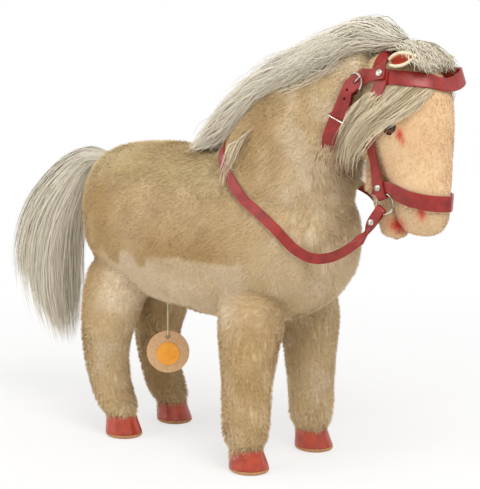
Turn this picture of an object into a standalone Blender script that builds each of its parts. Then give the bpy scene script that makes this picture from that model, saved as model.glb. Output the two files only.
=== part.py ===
# Standing plush horse with a leather bridle, built from its separate pieces.
# Metres, +Z up, +X is the way the horse faces, +Y is its left side.
# The origin is on the floor, under the middle of the horse.

import math

import bmesh
import bpy
from mathutils import Matrix, Vector
from mathutils.bvhtree import BVHTree

# Driving sizes of the animal
WHEELBASE = 0.125
FRONT_TRACK = 0.070
REAR_TRACK = 0.053
FRONT_HOOVES = 0.0638
TORSO_LENGTH = 0.232
TORSO_WIDTH = 0.092
TORSO_DEPTH = 0.123
BELLY_HEIGHT = 0.090
CHEST_OVERHANG = 0.0545
NECK_LENGTH = 0.128
NECK_WIDTH = 0.062
NECK_DEPTH = 0.104
HEAD_LENGTH = 0.121
HEAD_WIDTH = 0.047
HEAD_DEPTH = 0.070
HEAD_OVERHANG = 0.099
MUZZLE_HEIGHT = 0.159
JAW_LENGTH = 0.054
JAW_WIDTH = 0.020
JAW_DEPTH = 0.017
LEG_DIAMETER = 0.031
EYE_DIAMETER = 0.0074
EYE_SHANK_DIAMETER = 0.0012
EYE_SHANK_LENGTH = 0.006
EAR_LENGTH = 0.0215
EAR_WIDTH = 0.012
EAR_THICKNESS = 0.0012

# Long hair
MANE_THICKNESS = 0.026
MANE_WIDTH = 0.040
FORELOCK_WIDTH = 0.024
FORELOCK_THICKNESS = 0.008
TAIL_LENGTH = 0.175
TAIL_THICKNESS = 0.048

# Hooves
HOOF_LENGTH = 0.0275
HOOF_WIDTH = 0.0255
HOOF_HEIGHT = 0.0125
SOLE_THICKNESS = 0.0028
CUFF_WALL = 0.0007
LEG_WIRE_DIAMETER = 0.0022

# Leather and its metal
STRAP_WIDTH = 0.0092
NARROW_WIDTH = 0.0078
REIN_WIDTH = 0.0066
TAB_WIDTH = 0.0058
STRAP_THICKNESS = 0.0012
RING_DIAMETER = 0.0134
RING_WIRE_DIAMETER = 0.0014
RIVET_HEAD_DIAMETER = 0.0045
RIVET_HEAD_HEIGHT = 0.0012
RIVET_SHANK_DIAMETER = 0.0018
BUCKLE_WIRE_DIAMETER = 0.0013
BUCKLE_LENGTH = 0.0092
PRONG_WIRE_DIAMETER = 0.0010
KEEPER_WIRE_DIAMETER = 0.0011
BILLET_HOLE_DIAMETER = 0.0018
BILLET_HOLE_PITCH = 0.0058
SPARE_HOLES = 2

# Hang tag
TAG_DIAMETER = 0.0305
TAG_THICKNESS = 0.0008
TAG_HOLE_DIAMETER = 0.0034
TAG_HOLE_EDGE = 0.0042
STICKER_DIAMETER = 0.0165
STICKER_THICKNESS = 0.0003
THREAD_DIAMETER = 0.0009
THREAD_DROP = 0.0246
TAG_TURN = 40

# Clearances between pieces
GAP = 0.0003
PILE_CLEARANCE = 0.0007
MERGE_DISTANCE = 0.00001

# How finely the forms are drawn
FORM_SIDES = 12
FORM_LEVELS = 1
SURFACE_LEVELS = 3
ROW_SPACING = 0.005

scene = bpy.context.scene
for leftover in list(bpy.data.objects):
    bpy.data.objects.remove(leftover, do_unlink=True)

horse = bpy.data.collections.new("plush_horse")
scene.collection.children.link(horse)
cutters = bpy.data.collections.new("cutters")
scene.collection.children.link(cutters)


def material(name, red, green, blue, roughness, metallic=0.0):
    made = bpy.data.materials.new(name)
    made.use_nodes = True
    shader = made.node_tree.nodes["Principled BSDF"]
    shader.inputs["Base Color"].default_value = (red, green, blue, 1.0)
    shader.inputs["Roughness"].default_value = roughness
    shader.inputs["Metallic"].default_value = metallic
    return made


def new_object(name, mesh, finish, collection=horse):
    obj = bpy.data.objects.new(name, mesh)
    collection.objects.link(obj)
    if finish is not None:
        mesh.materials.append(finish)
    if collection is cutters:
        obj.hide_render = True
        obj.display_type = "WIRE"
    return obj


def oval(centre, across, up, half_across, half_up, sides=FORM_SIDES):
    # One closed ring of points round a centre, in the plane of the two directions.
    ring = []
    for step in range(sides):
        turn = math.tau * step / sides
        ring.append(centre + across * (half_across * math.cos(turn)) + up * (half_up * math.sin(turn)))
    return ring


def loft(name, rings, finish, first_tip=None, last_tip=None, levels=FORM_LEVELS, collection=horse):
    # A closed skin over rings of points, drawn together at a tip point at each end.
    shell = bmesh.new()
    rows = [[shell.verts.new(point) for point in ring] for ring in rings]
    sides = len(rows[0])
    for lower, upper in zip(rows, rows[1:]):
        for i in range(sides):
            j = (i + 1) % sides
            shell.faces.new((lower[i], lower[j], upper[j], upper[i]))
    for row, tip in ((rows[0], first_tip), (rows[-1], last_tip)):
        if tip is None:
            shell.faces.new(row)
            continue
        point = shell.verts.new(tip)
        for i in range(sides):
            shell.faces.new((row[i], row[(i + 1) % sides], point))
    bmesh.ops.recalc_face_normals(shell, faces=shell.faces)
    mesh = bpy.data.meshes.new(name)
    shell.to_mesh(mesh)
    shell.free()
    mesh.shade_smooth()
    obj = new_object(name, mesh, finish, collection)
    if levels:
        smooth = obj.modifiers.new("Soft form", "SUBSURF")
        smooth.levels = levels
        smooth.render_levels = levels
    return obj


def evaluated_mesh(obj):
    bpy.context.view_layer.update()
    graph = bpy.context.evaluated_depsgraph_get()
    return bpy.data.meshes.new_from_object(obj.evaluated_get(graph))


def grown_copy(obj, by):
    # A cutter of the same form, grown along its normals by the clearance.
    mesh = evaluated_mesh(obj)
    mesh.transform(obj.matrix_world)
    cutter = new_object(obj.name + "_cutter", mesh, None, cutters)
    swell = cutter.modifiers.new("Clearance", "DISPLACE")
    swell.strength = by
    swell.mid_level = 0.0
    return cutter


def cut(obj, cutter, name="Cut"):
    step = obj.modifiers.new(name, "BOOLEAN")
    step.operation = "DIFFERENCE"
    step.object = cutter
    return step


def pressed(soft, firm):
    # Where a piece lies hard on a softer one, the softer one is pressed in.
    cut(soft, grown_copy(firm, GAP), "Pressed by " + firm.name)


# Materials
mohair = material("golden_mohair", 0.54, 0.38, 0.18, 0.95)
face_plush = material("short_face_plush", 0.77, 0.54, 0.31, 0.9)
long_hair = material("cream_hair", 0.58, 0.54, 0.45, 0.85)
felt = material("cream_felt", 0.80, 0.72, 0.52, 0.95)
oilcloth = material("red_oilcloth", 0.47, 0.06, 0.03, 0.3)
sole_board = material("tan_sole_board", 0.52, 0.24, 0.11, 0.75)
leather = material("red_leather", 0.37, 0.04, 0.035, 0.4)
nickel = material("nickelled_steel", 0.62, 0.58, 0.52, 0.25, 1.0)
steel = material("steel_wire", 0.45, 0.45, 0.45, 0.4, 1.0)
glass = material("brown_glass", 0.05, 0.02, 0.01, 0.08)
cotton = material("cotton_thread", 0.8, 0.75, 0.62, 0.9)
card = material("tan_card", 0.64, 0.4, 0.22, 0.8)
sticker = material("orange_paper", 0.87, 0.36, 0.02, 0.7)

X = Vector((1, 0, 0))
Y = Vector((0, 1, 0))
Z = Vector((0, 0, 1))

# Torso: rings square to X, from the rump to the chest.
# Each row: place along the length, half width, underside and top as shares.
TORSO_SHARES = [
    (0.02, 0.30, 0.34, 0.80),
    (0.10, 0.80, 0.16, 0.955),
    (0.23, 0.98, 0.075, 1.00),
    (0.40, 1.02, 0.03, 1.00),
    (0.58, 1.02, 0.00, 0.965),
    (0.75, 1.02, 0.01, 0.93),
    (0.89, 0.93, 0.10, 0.88),
    (0.975, 0.62, 0.24, 0.76),
]
torso_rear = FRONT_HOOVES + CHEST_OVERHANG - TORSO_LENGTH


def torso_point(share_x, share_z):
    return Vector((torso_rear + share_x * TORSO_LENGTH, 0, BELLY_HEIGHT + share_z * TORSO_DEPTH))


torso_rings = []
for along, wide, low, high in TORSO_SHARES:
    centre = torso_point(along, (low + high) / 2)
    torso_rings.append(oval(centre, Y, Z, wide * TORSO_WIDTH / 2, (high - low) / 2 * TORSO_DEPTH))
torso = loft("torso", torso_rings, mohair, torso_point(0.0, 0.6), torso_point(1.0, 0.55))

# Neck: rings square to a spine that arches from inside the shoulders to the poll.
# Each row: forward and up from the torso's chest as shares of the neck length,
# the lean of the ring in degrees, half depth and half width as shares.
NECK_SHARES = [
    (-0.500, -0.04, 15, 1.18, 1.26),
    (-0.405, 0.156, 20, 1.05, 1.17),
    (-0.320, 0.336, 29, 0.93, 1.04),
    (-0.215, 0.508, 42, 0.80, 0.93),
    (-0.070, 0.640, 57, 0.67, 0.83),
    (0.085, 0.711, 70, 0.54, 0.72),
    (0.200, 0.727, 80, 0.42, 0.62),
]
neck_base = torso_point(1.0, 0.62)
neck_rings = []
for forward, up, lean, deep, wide in NECK_SHARES:
    centre = neck_base + X * (forward * NECK_LENGTH) + Z * (up * NECK_LENGTH)
    along = Vector((math.cos(math.radians(90 - lean)), 0, math.sin(math.radians(90 - lean))))
    across = Y.cross(along)
    neck_rings.append(oval(centre, across, Y, deep * NECK_DEPTH / 2, wide * NECK_WIDTH / 2))
neck = loft("neck", neck_rings, mohair)

# Head: rings from the poll down to the muzzle.
# Each row: height share, forward share of the depth, half depth and half width shares.
HEAD_SHARES = [
    (0.905, -0.175, 0.50, 0.54),
    (0.822, -0.083, 0.80, 0.90),
    (0.70, -0.055, 0.98, 1.04),
    (0.54, -0.045, 0.99, 1.01),
    (0.38, 0.06, 0.74, 0.80),
    (0.218, 0.15, 0.545, 0.63),
    (0.097, 0.16, 0.53, 0.62),
    (0.032, 0.16, 0.38, 0.45),
]


def head_point(height_share, forward_share):
    along = FRONT_HOOVES + HEAD_OVERHANG + forward_share * HEAD_DEPTH
    return Vector((along, 0, MUZZLE_HEIGHT + height_share * HEAD_LENGTH))


head_rings = []
for high, forward, deep, wide in HEAD_SHARES:
    head_rings.append(oval(head_point(high, forward), X, Y, deep * HEAD_DEPTH / 2, wide * HEAD_WIDTH / 2))
head = loft("head", head_rings, face_plush, head_point(0.945, -0.185), head_point(0.0, 0.23))

# Legs: rings square to Z from inside the hoof up into the torso.
# Each row: height share of the belly height, back and sideways shares, half sizes as shares.
FRONT_LEG_SHARES = [
    (0.225, 0.00, 0.00, 0.94, 0.94),
    (0.42, 0.00, 0.00, 1.00, 1.00),
    (0.74, 0.00, 0.04, 1.10, 1.06),
    (1.02, 0.00, 0.12, 1.56, 1.20),
    (1.36, 0.05, 0.30, 1.80, 1.20),
]
REAR_LEG_SHARES = [
    (0.225, 0.07, 0.00, 0.89, 0.89),
    (0.40, 0.34, 0.00, 0.92, 0.92),
    (0.64, 0.52, 0.00, 1.00, 0.98),
    (0.90, 0.40, 0.00, 1.38, 1.12),
    (1.16, 0.24, 0.10, 1.84, 1.24),
    (1.50, 0.10, 0.30, 1.90, 1.10),
]
HOOF_TOP_SHARE = 0.80
cuff_foot = SOLE_THICKNESS + GAP
cuff_top = cuff_foot + HOOF_HEIGHT
LEG_SIDES = 10


def leg(name, hoof_x, side, track, shares):
    # The foot fills the hoof, and the leg swells out just above it.
    foot_long = HOOF_TOP_SHARE * HOOF_LENGTH / 2 - CUFF_WALL - GAP
    foot_wide = HOOF_TOP_SHARE * HOOF_WIDTH / 2 - CUFF_WALL - GAP
    hoof_y = side * track / 2
    rings = []
    for height in (cuff_foot + GAP, cuff_foot + HOOF_HEIGHT / 2, cuff_top, cuff_top + HOOF_HEIGHT / 8):
        rings.append(oval(Vector((hoof_x, hoof_y, height)), X, Y, foot_long, foot_wide, LEG_SIDES))
    for high, back, inward, long, wide in shares:
        place = Vector((hoof_x, hoof_y, high * BELLY_HEIGHT))
        place -= Vector((back * LEG_DIAMETER, side * inward * LEG_DIAMETER, 0))
        rings.append(oval(place, X, Y, long * LEG_DIAMETER / 2, wide * LEG_DIAMETER / 2, LEG_SIDES))
    return loft(name, rings, mohair)


rear_hooves = FRONT_HOOVES - WHEELBASE
legs = {}
for side_name, side in (("left", 1), ("right", -1)):
    for end_name, hoof_x, track, shares in (
        ("front_", FRONT_HOOVES, FRONT_TRACK, FRONT_LEG_SHARES),
        ("rear_", rear_hooves, REAR_TRACK, REAR_LEG_SHARES),
    ):
        legs[end_name + side_name] = leg("leg_" + end_name + side_name, hoof_x, side, track, shares)


def head_place(forward_share, side_share, height_share):
    spot = head_point(height_share, forward_share)
    return spot + Y * (side_share * HEAD_WIDTH / 2)


def torso_place(along_share, side_share, height_share):
    return torso_point(along_share, height_share) + Y * (side_share * TORSO_WIDTH / 2)


# Lower jaw: rings from inside the cheeks down to the chin.
# Each row: down and forward shares of the jaw length, half depth and half width shares.
JAW_SHARES = [
    (0.00, 0.00, 1.05, 1.10),
    (0.28, 0.03, 1.02, 1.04),
    (0.56, 0.06, 0.98, 0.98),
    (0.82, 0.12, 0.92, 0.92),
]
jaw_top = head_point(0.40, -0.22)
jaw_rings = []
for down, forward, deep, wide in JAW_SHARES:
    centre = jaw_top + X * (forward * JAW_LENGTH) - Z * (down * JAW_LENGTH)
    jaw_rings.append(oval(centre, X, Y, deep * JAW_DEPTH / 2, wide * JAW_WIDTH / 2, 10))
lower_jaw = loft(
    "lower_jaw", jaw_rings, face_plush, jaw_top + Z * (0.1 * JAW_LENGTH),
    jaw_top + X * (0.17 * JAW_LENGTH) - Z * JAW_LENGTH,
)

# Mane: a roll of long hair along the crest, falling back and to the left.
# Each row: forward and up from the neck's base as shares of the neck length,
# sideways share of its width, lean in degrees, thickness and width shares.
MANE_SHARES = [
    (-0.960, 0.300, 0.22, 14, 0.34, 0.50),
    (-0.850, 0.395, 0.22, 24, 0.80, 0.90),
    (-0.690, 0.540, 0.20, 34, 0.96, 1.00),
    (-0.505, 0.690, 0.18, 46, 1.00, 1.00),
    (-0.295, 0.810, 0.14, 60, 0.96, 0.94),
    (-0.070, 0.880, 0.08, 78, 0.90, 0.86),
    (0.120, 0.895, 0.02, 92, 0.76, 0.78),
    (0.225, 0.860, 0.00, 110, 0.42, 0.50),
]
mane_rings = []
for forward, up, aside, lean, thick, wide in MANE_SHARES:
    centre = neck_base + X * (forward * NECK_LENGTH) + Z * (up * NECK_LENGTH)
    centre += Y * (aside * MANE_WIDTH)
    along = Vector((math.sin(math.radians(lean)), 0, math.cos(math.radians(lean))))
    mane_rings.append(oval(centre, Y.cross(along), Y, thick * MANE_THICKNESS / 2, wide * MANE_WIDTH / 2, 10))
mane = loft("mane", mane_rings, long_hair)

# Forelock: a short roll of hair lying over the forehead between crown and browband.
# Each row: forward, sideways and height shares of the head, thickness and width shares.
FORELOCK_SHARES = [
    (0.03, 0.0, 0.935, 0.55, 0.60),
    (0.13, 0.0, 0.925, 0.95, 0.92),
    (0.23, 0.0, 0.885, 1.00, 1.00),
    (0.315, 0.0, 0.84, 0.70, 0.86),
]
forelock_rings = []
for forward, aside, high, thick, wide in FORELOCK_SHARES:
    lean = math.radians(50)
    outward = Vector((math.cos(lean), 0, math.sin(lean)))
    centre = head_place(forward, aside, high)
    forelock_rings.append(
        oval(centre, outward, Y, thick * FORELOCK_THICKNESS / 2, wide * FORELOCK_WIDTH / 2, 10)
    )
forelock = loft("forelock", forelock_rings, long_hair)

# Tail: long hair from the top of the rump, arching back and down to a ragged tip.
# Each row: back and down from its root as shares of the length, lean, width and thickness shares.
TAIL_SHARES = [
    (0.000, 0.010, 85, 0.30, 0.30),
    (0.125, -0.030, 98, 0.52, 0.48),
    (0.265, 0.075, 135, 0.88, 0.74),
    (0.365, 0.245, 160, 1.12, 0.92),
    (0.415, 0.440, 177, 1.20, 0.98),
    (0.400, 0.630, 192, 1.10, 0.90),
    (0.345, 0.800, 208, 0.72, 0.62),
]
tail_root = torso_place(0.070, 0, 0.882)
tail_rings = []
for back, down, lean, wide, thick in TAIL_SHARES:
    centre = tail_root - X * (back * TAIL_LENGTH) - Z * (down * TAIL_LENGTH)
    along = Vector((-math.sin(math.radians(lean)), 0, math.cos(math.radians(lean))))
    tail_rings.append(
        oval(centre, Y.cross(along), Y, wide * TAIL_THICKNESS / 2, thick * TAIL_THICKNESS / 2, 10)
    )
tail_tip = tail_root - X * (0.27 * TAIL_LENGTH) - Z * (0.93 * TAIL_LENGTH)
tail = loft("tail", tail_rings, long_hair, None, tail_tip)

# The larger form cuts the smaller one where they are sewn together.
torso_cutter = grown_copy(torso, GAP)
neck_cutter = grown_copy(neck, GAP)
head_cutter = grown_copy(head, GAP)
cut(neck, torso_cutter)
cut(head, neck_cutter)
cut(lower_jaw, head_cutter)
cut(mane, neck_cutter)
cut(mane, head_cutter, "Cut head")
cut(mane, torso_cutter, "Cut torso")
cut(forelock, head_cutter)
cut(tail, torso_cutter)
for leg_object in legs.values():
    cut(leg_object, torso_cutter)


def smooth_tree(obj):
    # A fine copy of a form, used to lay the straps on it.
    copy = obj.copy()
    copy.data = obj.data.copy()
    copy.modifiers.clear()
    cutters.objects.link(copy)
    fine = copy.modifiers.new("Fine", "SUBSURF")
    fine.levels = SURFACE_LEVELS
    fine.render_levels = SURFACE_LEVELS
    mesh = evaluated_mesh(copy)
    tree = BVHTree.FromPolygons([v.co for v in mesh.vertices], [tuple(p.vertices) for p in mesh.polygons])
    bpy.data.objects.remove(copy, do_unlink=True)
    return tree


surfaces = [smooth_tree(obj) for obj in (head, neck, torso)]


def nearest(point):
    # The closest place on the animal, its outward direction, and the signed distance to it.
    best = None
    for tree in surfaces:
        place, normal, index, distance = tree.find_nearest(point)
        signed = math.copysign(distance, (point - place).dot(normal))
        if best is None or signed < best[2]:
            best = (place, normal, signed)
    return best


def kept_off(point, height, cling):
    # Pushed out to the height over the animal, or drawn down to it as far as it clings.
    for attempt in range(3):
        place, normal, signed = nearest(point)
        if signed >= height - GAP / 10:
            break
        point = place + normal * height
    if signed > height and cling > 0:
        place, normal, signed = nearest(point)
        point = point.lerp(place + normal * height, cling)
    return point


# Where straps cross: how many rays look for the strap below, and how far round.
CROSSING_SIDES = 8
CROSSING_REACH = 0.9 * ROW_SPACING


def strap_tree(obj):
    mesh = evaluated_mesh(obj)
    mesh.transform(obj.matrix_world)
    return BVHTree.FromPolygons([v.co for v in mesh.vertices], [tuple(p.vertices) for p in mesh.polygons])


def lifted(point, trees):
    # Raised clear of the straps that lie under it or close beside it.
    place, normal, signed = nearest(point)
    aside = normal.orthogonal().normalized()
    need = signed
    for tree in trees:
        for step in range(2 * CROSSING_SIDES):
            reach = CROSSING_REACH / (1 + step % 2)
            lean = Matrix.Rotation(math.tau * step / CROSSING_SIDES, 3, normal) @ aside
            start = place + lean * reach + normal * (12 * STRAP_THICKNESS)
            spot = tree.ray_cast(start, -normal, 12 * STRAP_THICKNESS)[0]
            if spot is not None:
                need = max(need, (spot - place).dot(normal) + STRAP_THICKNESS / 2 + 2 * GAP)
    return point + normal * (need - signed)


def spline(values, shares):
    # Catmull-Rom interpolation of a list of numbers or vectors.
    made = []
    last = len(values) - 1
    for share in shares:
        i = min(int(share), last - 1)
        t = share - i
        a, b = values[max(i - 1, 0)], values[i]
        c, d = values[i + 1], values[min(i + 2, last)]
        made.append(
            0.5 * (2 * b + (c - a) * t + (2 * a - 5 * b + 4 * c - d) * t**2 + (3 * b - a - 3 * c + d) * t**3)
        )
    return made


def even_shares(points, spacing):
    # Places along a list of points, about one spacing apart and hitting every point.
    shares = [0.0]
    for i in range(len(points) - 1):
        steps = max(1, round((points[i + 1] - points[i]).length / spacing))
        shares += [i + (step + 1) / steps for step in range(steps)]
    return shares


def linear(values, shares):
    made = []
    for share in shares:
        i = min(int(share), len(values) - 2)
        made.append(values[i] + (values[i + 1] - values[i]) * (share - i))
    return made


def strap(name, stops, holes=(), spacing=ROW_SPACING, under=()):
    # A flat strap. Each stop: place, width, height over the pile, how far it clings,
    # and the direction across it, or None to follow the animal's surface.
    points = [stop[0] for stop in stops]
    acrosses = []
    for i, stop in enumerate(stops):
        if stop[4] is not None:
            acrosses.append(stop[4].normalized())
            continue
        forward = points[min(i + 1, len(points) - 1)] - points[max(i - 1, 0)]
        acrosses.append(forward.cross(nearest(stop[0])[1]).normalized())
    shares = even_shares(points, spacing)
    lines = zip(
        spline(points, shares),
        linear([stop[1] for stop in stops], shares),
        linear([stop[2] for stop in stops], shares),
        linear([stop[3] for stop in stops], shares),
        spline(acrosses, shares),
    )
    trees = [strap_tree(obj) for obj in under]
    sheet = bmesh.new()
    rows = []
    for point, width, height, cling, across in lines:
        across = across.normalized()
        row = []
        for side in (-1, 0, 1):
            spot = point + across * (side * width / 2)
            if height is not None and height > 0:
                spot = lifted(kept_off(spot, height, cling), trees)
            row.append(sheet.verts.new(spot))
        rows.append(row)
    for lower, upper in zip(rows, rows[1:]):
        for i in range(2):
            sheet.faces.new((lower[i], lower[i + 1], upper[i + 1], upper[i]))
    mesh = bpy.data.meshes.new(name)
    sheet.to_mesh(mesh)
    sheet.free()
    mesh.shade_smooth()
    obj = new_object(name, mesh, leather)
    thick = obj.modifiers.new("Leather", "SOLIDIFY")
    thick.thickness = STRAP_THICKNESS
    thick.offset = 0.0
    thick.use_even_offset = True
    for number, hole in enumerate(holes):
        cut(obj, hole, "Hole " + str(number + 1))
    return obj


def peg(name, centre, along, diameter, length, sides=12):
    # A round cutter through a place, along a direction.
    shell = bmesh.new()
    bmesh.ops.create_cone(
        shell, cap_ends=True, segments=sides, radius1=diameter / 2, radius2=diameter / 2, depth=length
    )
    mesh = bpy.data.meshes.new(name)
    shell.to_mesh(mesh)
    shell.free()
    cutter = new_object(name, mesh, None, cutters)
    cutter.matrix_world = facing(centre, along)
    return cutter


def facing(centre, along):
    # A placement whose +Z looks along a direction.
    turn = along.to_track_quat("Z", "Y").to_matrix().to_4x4()
    return Matrix.Translation(centre) @ turn


def turned(name, outline, finish, steps=16):
    # A solid of revolution about its own Z. The outline runs from top to bottom.
    mesh = bpy.data.meshes.new(name)
    mesh.from_pydata([(r, 0.0, z) for r, z in outline], [(i, i + 1) for i in range(len(outline) - 1)], [])
    obj = new_object(name, mesh, finish)
    spin = obj.modifiers.new("Turn", "SCREW")
    spin.steps = steps
    spin.render_steps = steps
    spin.use_merge_vertices = True
    spin.merge_threshold = MERGE_DISTANCE
    return obj


def rivet(name, base, outward, stack):
    # A domed head on a shank that goes through the leather under it.
    head_radius = RIVET_HEAD_DIAMETER / 2
    shank_radius = RIVET_SHANK_DIAMETER / 2
    dome = []
    for step in range(5):
        lean = math.radians(90) * step / 4
        dome.append((head_radius * math.sin(lean), RIVET_HEAD_HEIGHT * math.cos(lean)))
    outline = dome + [(shank_radius, 0.0), (shank_radius, -stack), (0.0, -stack)]
    obj = turned(name, outline, nickel, 14)
    obj.matrix_world = facing(base, outward)
    return obj


def rivet_through(name, place, outward, straps):
    # A rivet whose head rests on the highest of the straps at a place.
    trees = [strap_tree(obj) for obj in straps]
    aside = outward.orthogonal().normalized()
    height = 0.0
    for tree in trees:
        for step in range(CROSSING_SIDES):
            lean = Matrix.Rotation(math.tau * step / CROSSING_SIDES, 3, outward) @ aside
            start = place + lean * (RIVET_HEAD_DIAMETER / 2) + outward * (12 * STRAP_THICKNESS)
            spot = tree.ray_cast(start, -outward, 12 * STRAP_THICKNESS)[0]
            if spot is not None:
                height = max(height, (spot - place).dot(outward))
    height += 2 * GAP
    return rivet(name, place + outward * height, outward, height - PILE_CLEARANCE)


def wire(name, points, diameter, finish, closed=False, sides=2, collection=horse):
    # A round wire bent along its points, as a closed mesh.
    data = bpy.data.curves.new(name, "CURVE")
    data.dimensions = "3D"
    data.bevel_depth = diameter / 2
    data.bevel_resolution = sides
    data.use_fill_caps = True
    line = data.splines.new("POLY")
    line.points.add(len(points) - 1)
    for spot, point in zip(line.points, points):
        spot.co = (*point, 1.0)
    line.use_cyclic_u = closed
    guide = bpy.data.objects.new(name + "_line", data)
    cutters.objects.link(guide)
    mesh = evaluated_mesh(guide)
    bpy.data.objects.remove(guide, do_unlink=True)
    shell = bmesh.new()
    shell.from_mesh(mesh)
    bmesh.ops.remove_doubles(shell, verts=shell.verts, dist=diameter / 1000)
    bmesh.ops.recalc_face_normals(shell, faces=shell.faces)
    shell.to_mesh(mesh)
    shell.free()
    mesh.name = name
    mesh.materials.clear()
    mesh.shade_smooth()
    return new_object(name, mesh, finish, collection)


# Hooves: a cuff that widens to a rim, on a thick sole that bulges past it.
TOE_SHARE = 0.11
HOOF_SIDES = 20


def hoof_ring(hoof_x, hoof_y, height, share):
    # The outline of the hoof at a height: an oval that leans forward towards the rim.
    lean = TOE_SHARE * HOOF_LENGTH * (1 - height / cuff_top)
    centre = Vector((hoof_x + lean, hoof_y, height))
    return oval(centre, X, Y, share * HOOF_LENGTH / 2, share * HOOF_WIDTH / 2, HOOF_SIDES)


def open_shell(name, rings, finish, wall):
    # An open skin over rings of points, given a wall inwards.
    shell = bmesh.new()
    rows = [[shell.verts.new(point) for point in ring] for ring in rings]
    sides = len(rows[0])
    for lower, upper in zip(rows, rows[1:]):
        for i in range(sides):
            j = (i + 1) % sides
            shell.faces.new((lower[i], lower[j], upper[j], upper[i]))
    mesh = bpy.data.meshes.new(name)
    shell.to_mesh(mesh)
    shell.free()
    mesh.shade_smooth()
    obj = new_object(name, mesh, finish)
    thick = obj.modifiers.new("Wall", "SOLIDIFY")
    thick.thickness = wall
    thick.offset = -1.0
    thick.use_even_offset = True
    return obj


SOLE_SHARES = [(0.0, 0.80), (0.22, 0.92), (0.60, 0.995), (0.92, 0.985), (1.0, 0.965)]
CUFF_SHARES = [(0.0, 1.0), (0.10, 0.985), (0.35, 0.93), (0.70, 0.86), (1.0, HOOF_TOP_SHARE)]
feet = (
    ("front_left", FRONT_HOOVES, FRONT_TRACK / 2),
    ("front_right", FRONT_HOOVES, -FRONT_TRACK / 2),
    ("rear_left", rear_hooves, REAR_TRACK / 2),
    ("rear_right", rear_hooves, -REAR_TRACK / 2),
)
for foot_name, foot_x, foot_y in feet:
    sole_rings = [hoof_ring(foot_x, foot_y, high * SOLE_THICKNESS, wide) for high, wide in SOLE_SHARES]
    loft("sole_" + foot_name, sole_rings, sole_board, levels=0)
    cuff_rings = []
    for high, wide in CUFF_SHARES:
        cuff_rings.append(hoof_ring(foot_x, foot_y, cuff_foot + high * HOOF_HEIGHT, wide))
    open_shell("hoof_" + foot_name, cuff_rings, oilcloth, CUFF_WALL)

# Eyes: glass balls on a shank, set into the sides of the head.
EYE_PLACE_SHARES = (0.015, 0.93, 0.555)
EYE_DEPTH_SHARE = 0.30
eye_radius = EYE_DIAMETER / 2
eye_outline = []
for step in range(9):
    lean = math.radians(180) * step / 8
    across = eye_radius * math.sin(lean)
    if step and across < EYE_SHANK_DIAMETER / 2:
        break
    eye_outline.append((across, eye_radius * math.cos(lean)))
shank_end = -eye_radius - EYE_SHANK_LENGTH
eye_outline += [
    (EYE_SHANK_DIAMETER / 2, -eye_radius),
    (EYE_SHANK_DIAMETER / 2, shank_end),
    (0.0, shank_end),
]
for side_name, side in (("left", 1), ("right", -1)):
    forward, aside, high = EYE_PLACE_SHARES
    place, outward, signed = nearest(head_place(forward, side * aside, high))
    eye = turned("eye_" + side_name, eye_outline, glass, 14)
    eye.matrix_world = facing(place - outward * (EYE_DEPTH_SHARE * eye_radius), outward)
    cut(head, grown_copy(eye, GAP), "Eye socket " + side_name)

# Ears: leaves of felt folded along the middle, sewn behind the temples.
EAR_ROW_SHARES = [(0.0, 0.42), (0.18, 0.72), (0.42, 1.00), (0.66, 0.86), (0.86, 0.48), (1.0, 0.10)]
EAR_PLACE_SHARES = (-0.02, 0.78, 0.880)
EAR_FOLD_SHARE = 0.34
for side_name, side in (("left", 1), ("right", -1)):
    forward, aside, high = EAR_PLACE_SHARES
    root, outward, signed = nearest(head_place(forward, side * aside, high))
    root = root + outward * (EAR_THICKNESS / 2 + GAP)
    along = Vector((0.97, side * 0.10, 0.22)).normalized()
    hollow = (Vector((0.10, side * 0.92, -0.10)) - along * 0.1).normalized()
    across = along.cross(hollow).normalized()
    hollow = across.cross(along).normalized()
    leaf = bmesh.new()
    rows = []
    for far, wide in EAR_ROW_SHARES:
        half = wide * EAR_WIDTH / 2
        row = []
        for side_share in (-1.0, -0.55, 0.0, 0.55, 1.0):
            dip = -(1 - side_share**2) * EAR_FOLD_SHARE * wide * EAR_WIDTH
            spot = root + along * (far * EAR_LENGTH) + across * (side_share * half) + hollow * dip
            row.append(leaf.verts.new(spot))
        rows.append(row)
    for lower, upper in zip(rows, rows[1:]):
        for i in range(len(lower) - 1):
            leaf.faces.new((lower[i], lower[i + 1], upper[i + 1], upper[i]))
    ear_mesh = bpy.data.meshes.new("ear_" + side_name)
    leaf.to_mesh(ear_mesh)
    leaf.free()
    ear_mesh.shade_smooth()
    ear = new_object("ear_" + side_name, ear_mesh, felt)
    thick = ear.modifiers.new("Felt", "SOLIDIFY")
    thick.thickness = EAR_THICKNESS
    thick.offset = 0.0
    thick.use_even_offset = True
    cut(ear, head_cutter)
    cut(forelock, grown_copy(ear, GAP), "Ear " + side_name)

# Heights of the leather layers over the pile, measured to the middle of the strap.
layer = STRAP_THICKNESS + GAP
first_layer = PILE_CLEARANCE + STRAP_THICKNESS / 2
second_layer = first_layer + layer
third_layer = second_layer + layer

# Rings: each hangs beside the mouth and joins cheek strap, noseband and rein.
RING_PLACE_SHARES = (-0.08, 0.66, 0.170)
ring_radius = (RING_DIAMETER - RING_WIRE_DIAMETER) / 2
ring_wire = RING_WIRE_DIAMETER / 2
fold_offset = ring_wire + GAP + STRAP_THICKNESS / 2
CHEEK_ANGLE = math.radians(113)
REIN_ANGLE = math.radians(232)
tab_half = TAB_WIDTH / 2 + GAP
fold_inner = math.sqrt((ring_radius - ring_wire) ** 2 - tab_half**2) - GAP
fold_centre = fold_inner + fold_offset - STRAP_THICKNESS / 2
FOLD_STEPS = 6
CHEEK_RIVET_DISTANCE = 0.0105
REIN_RIVET_DISTANCE = 0.0148


def ring_spot(centre, side, direction, distance, outward):
    # A place in the ring's own plane, and a distance out of it on the outer side.
    return centre + direction * distance + Y * (side * outward)


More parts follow.
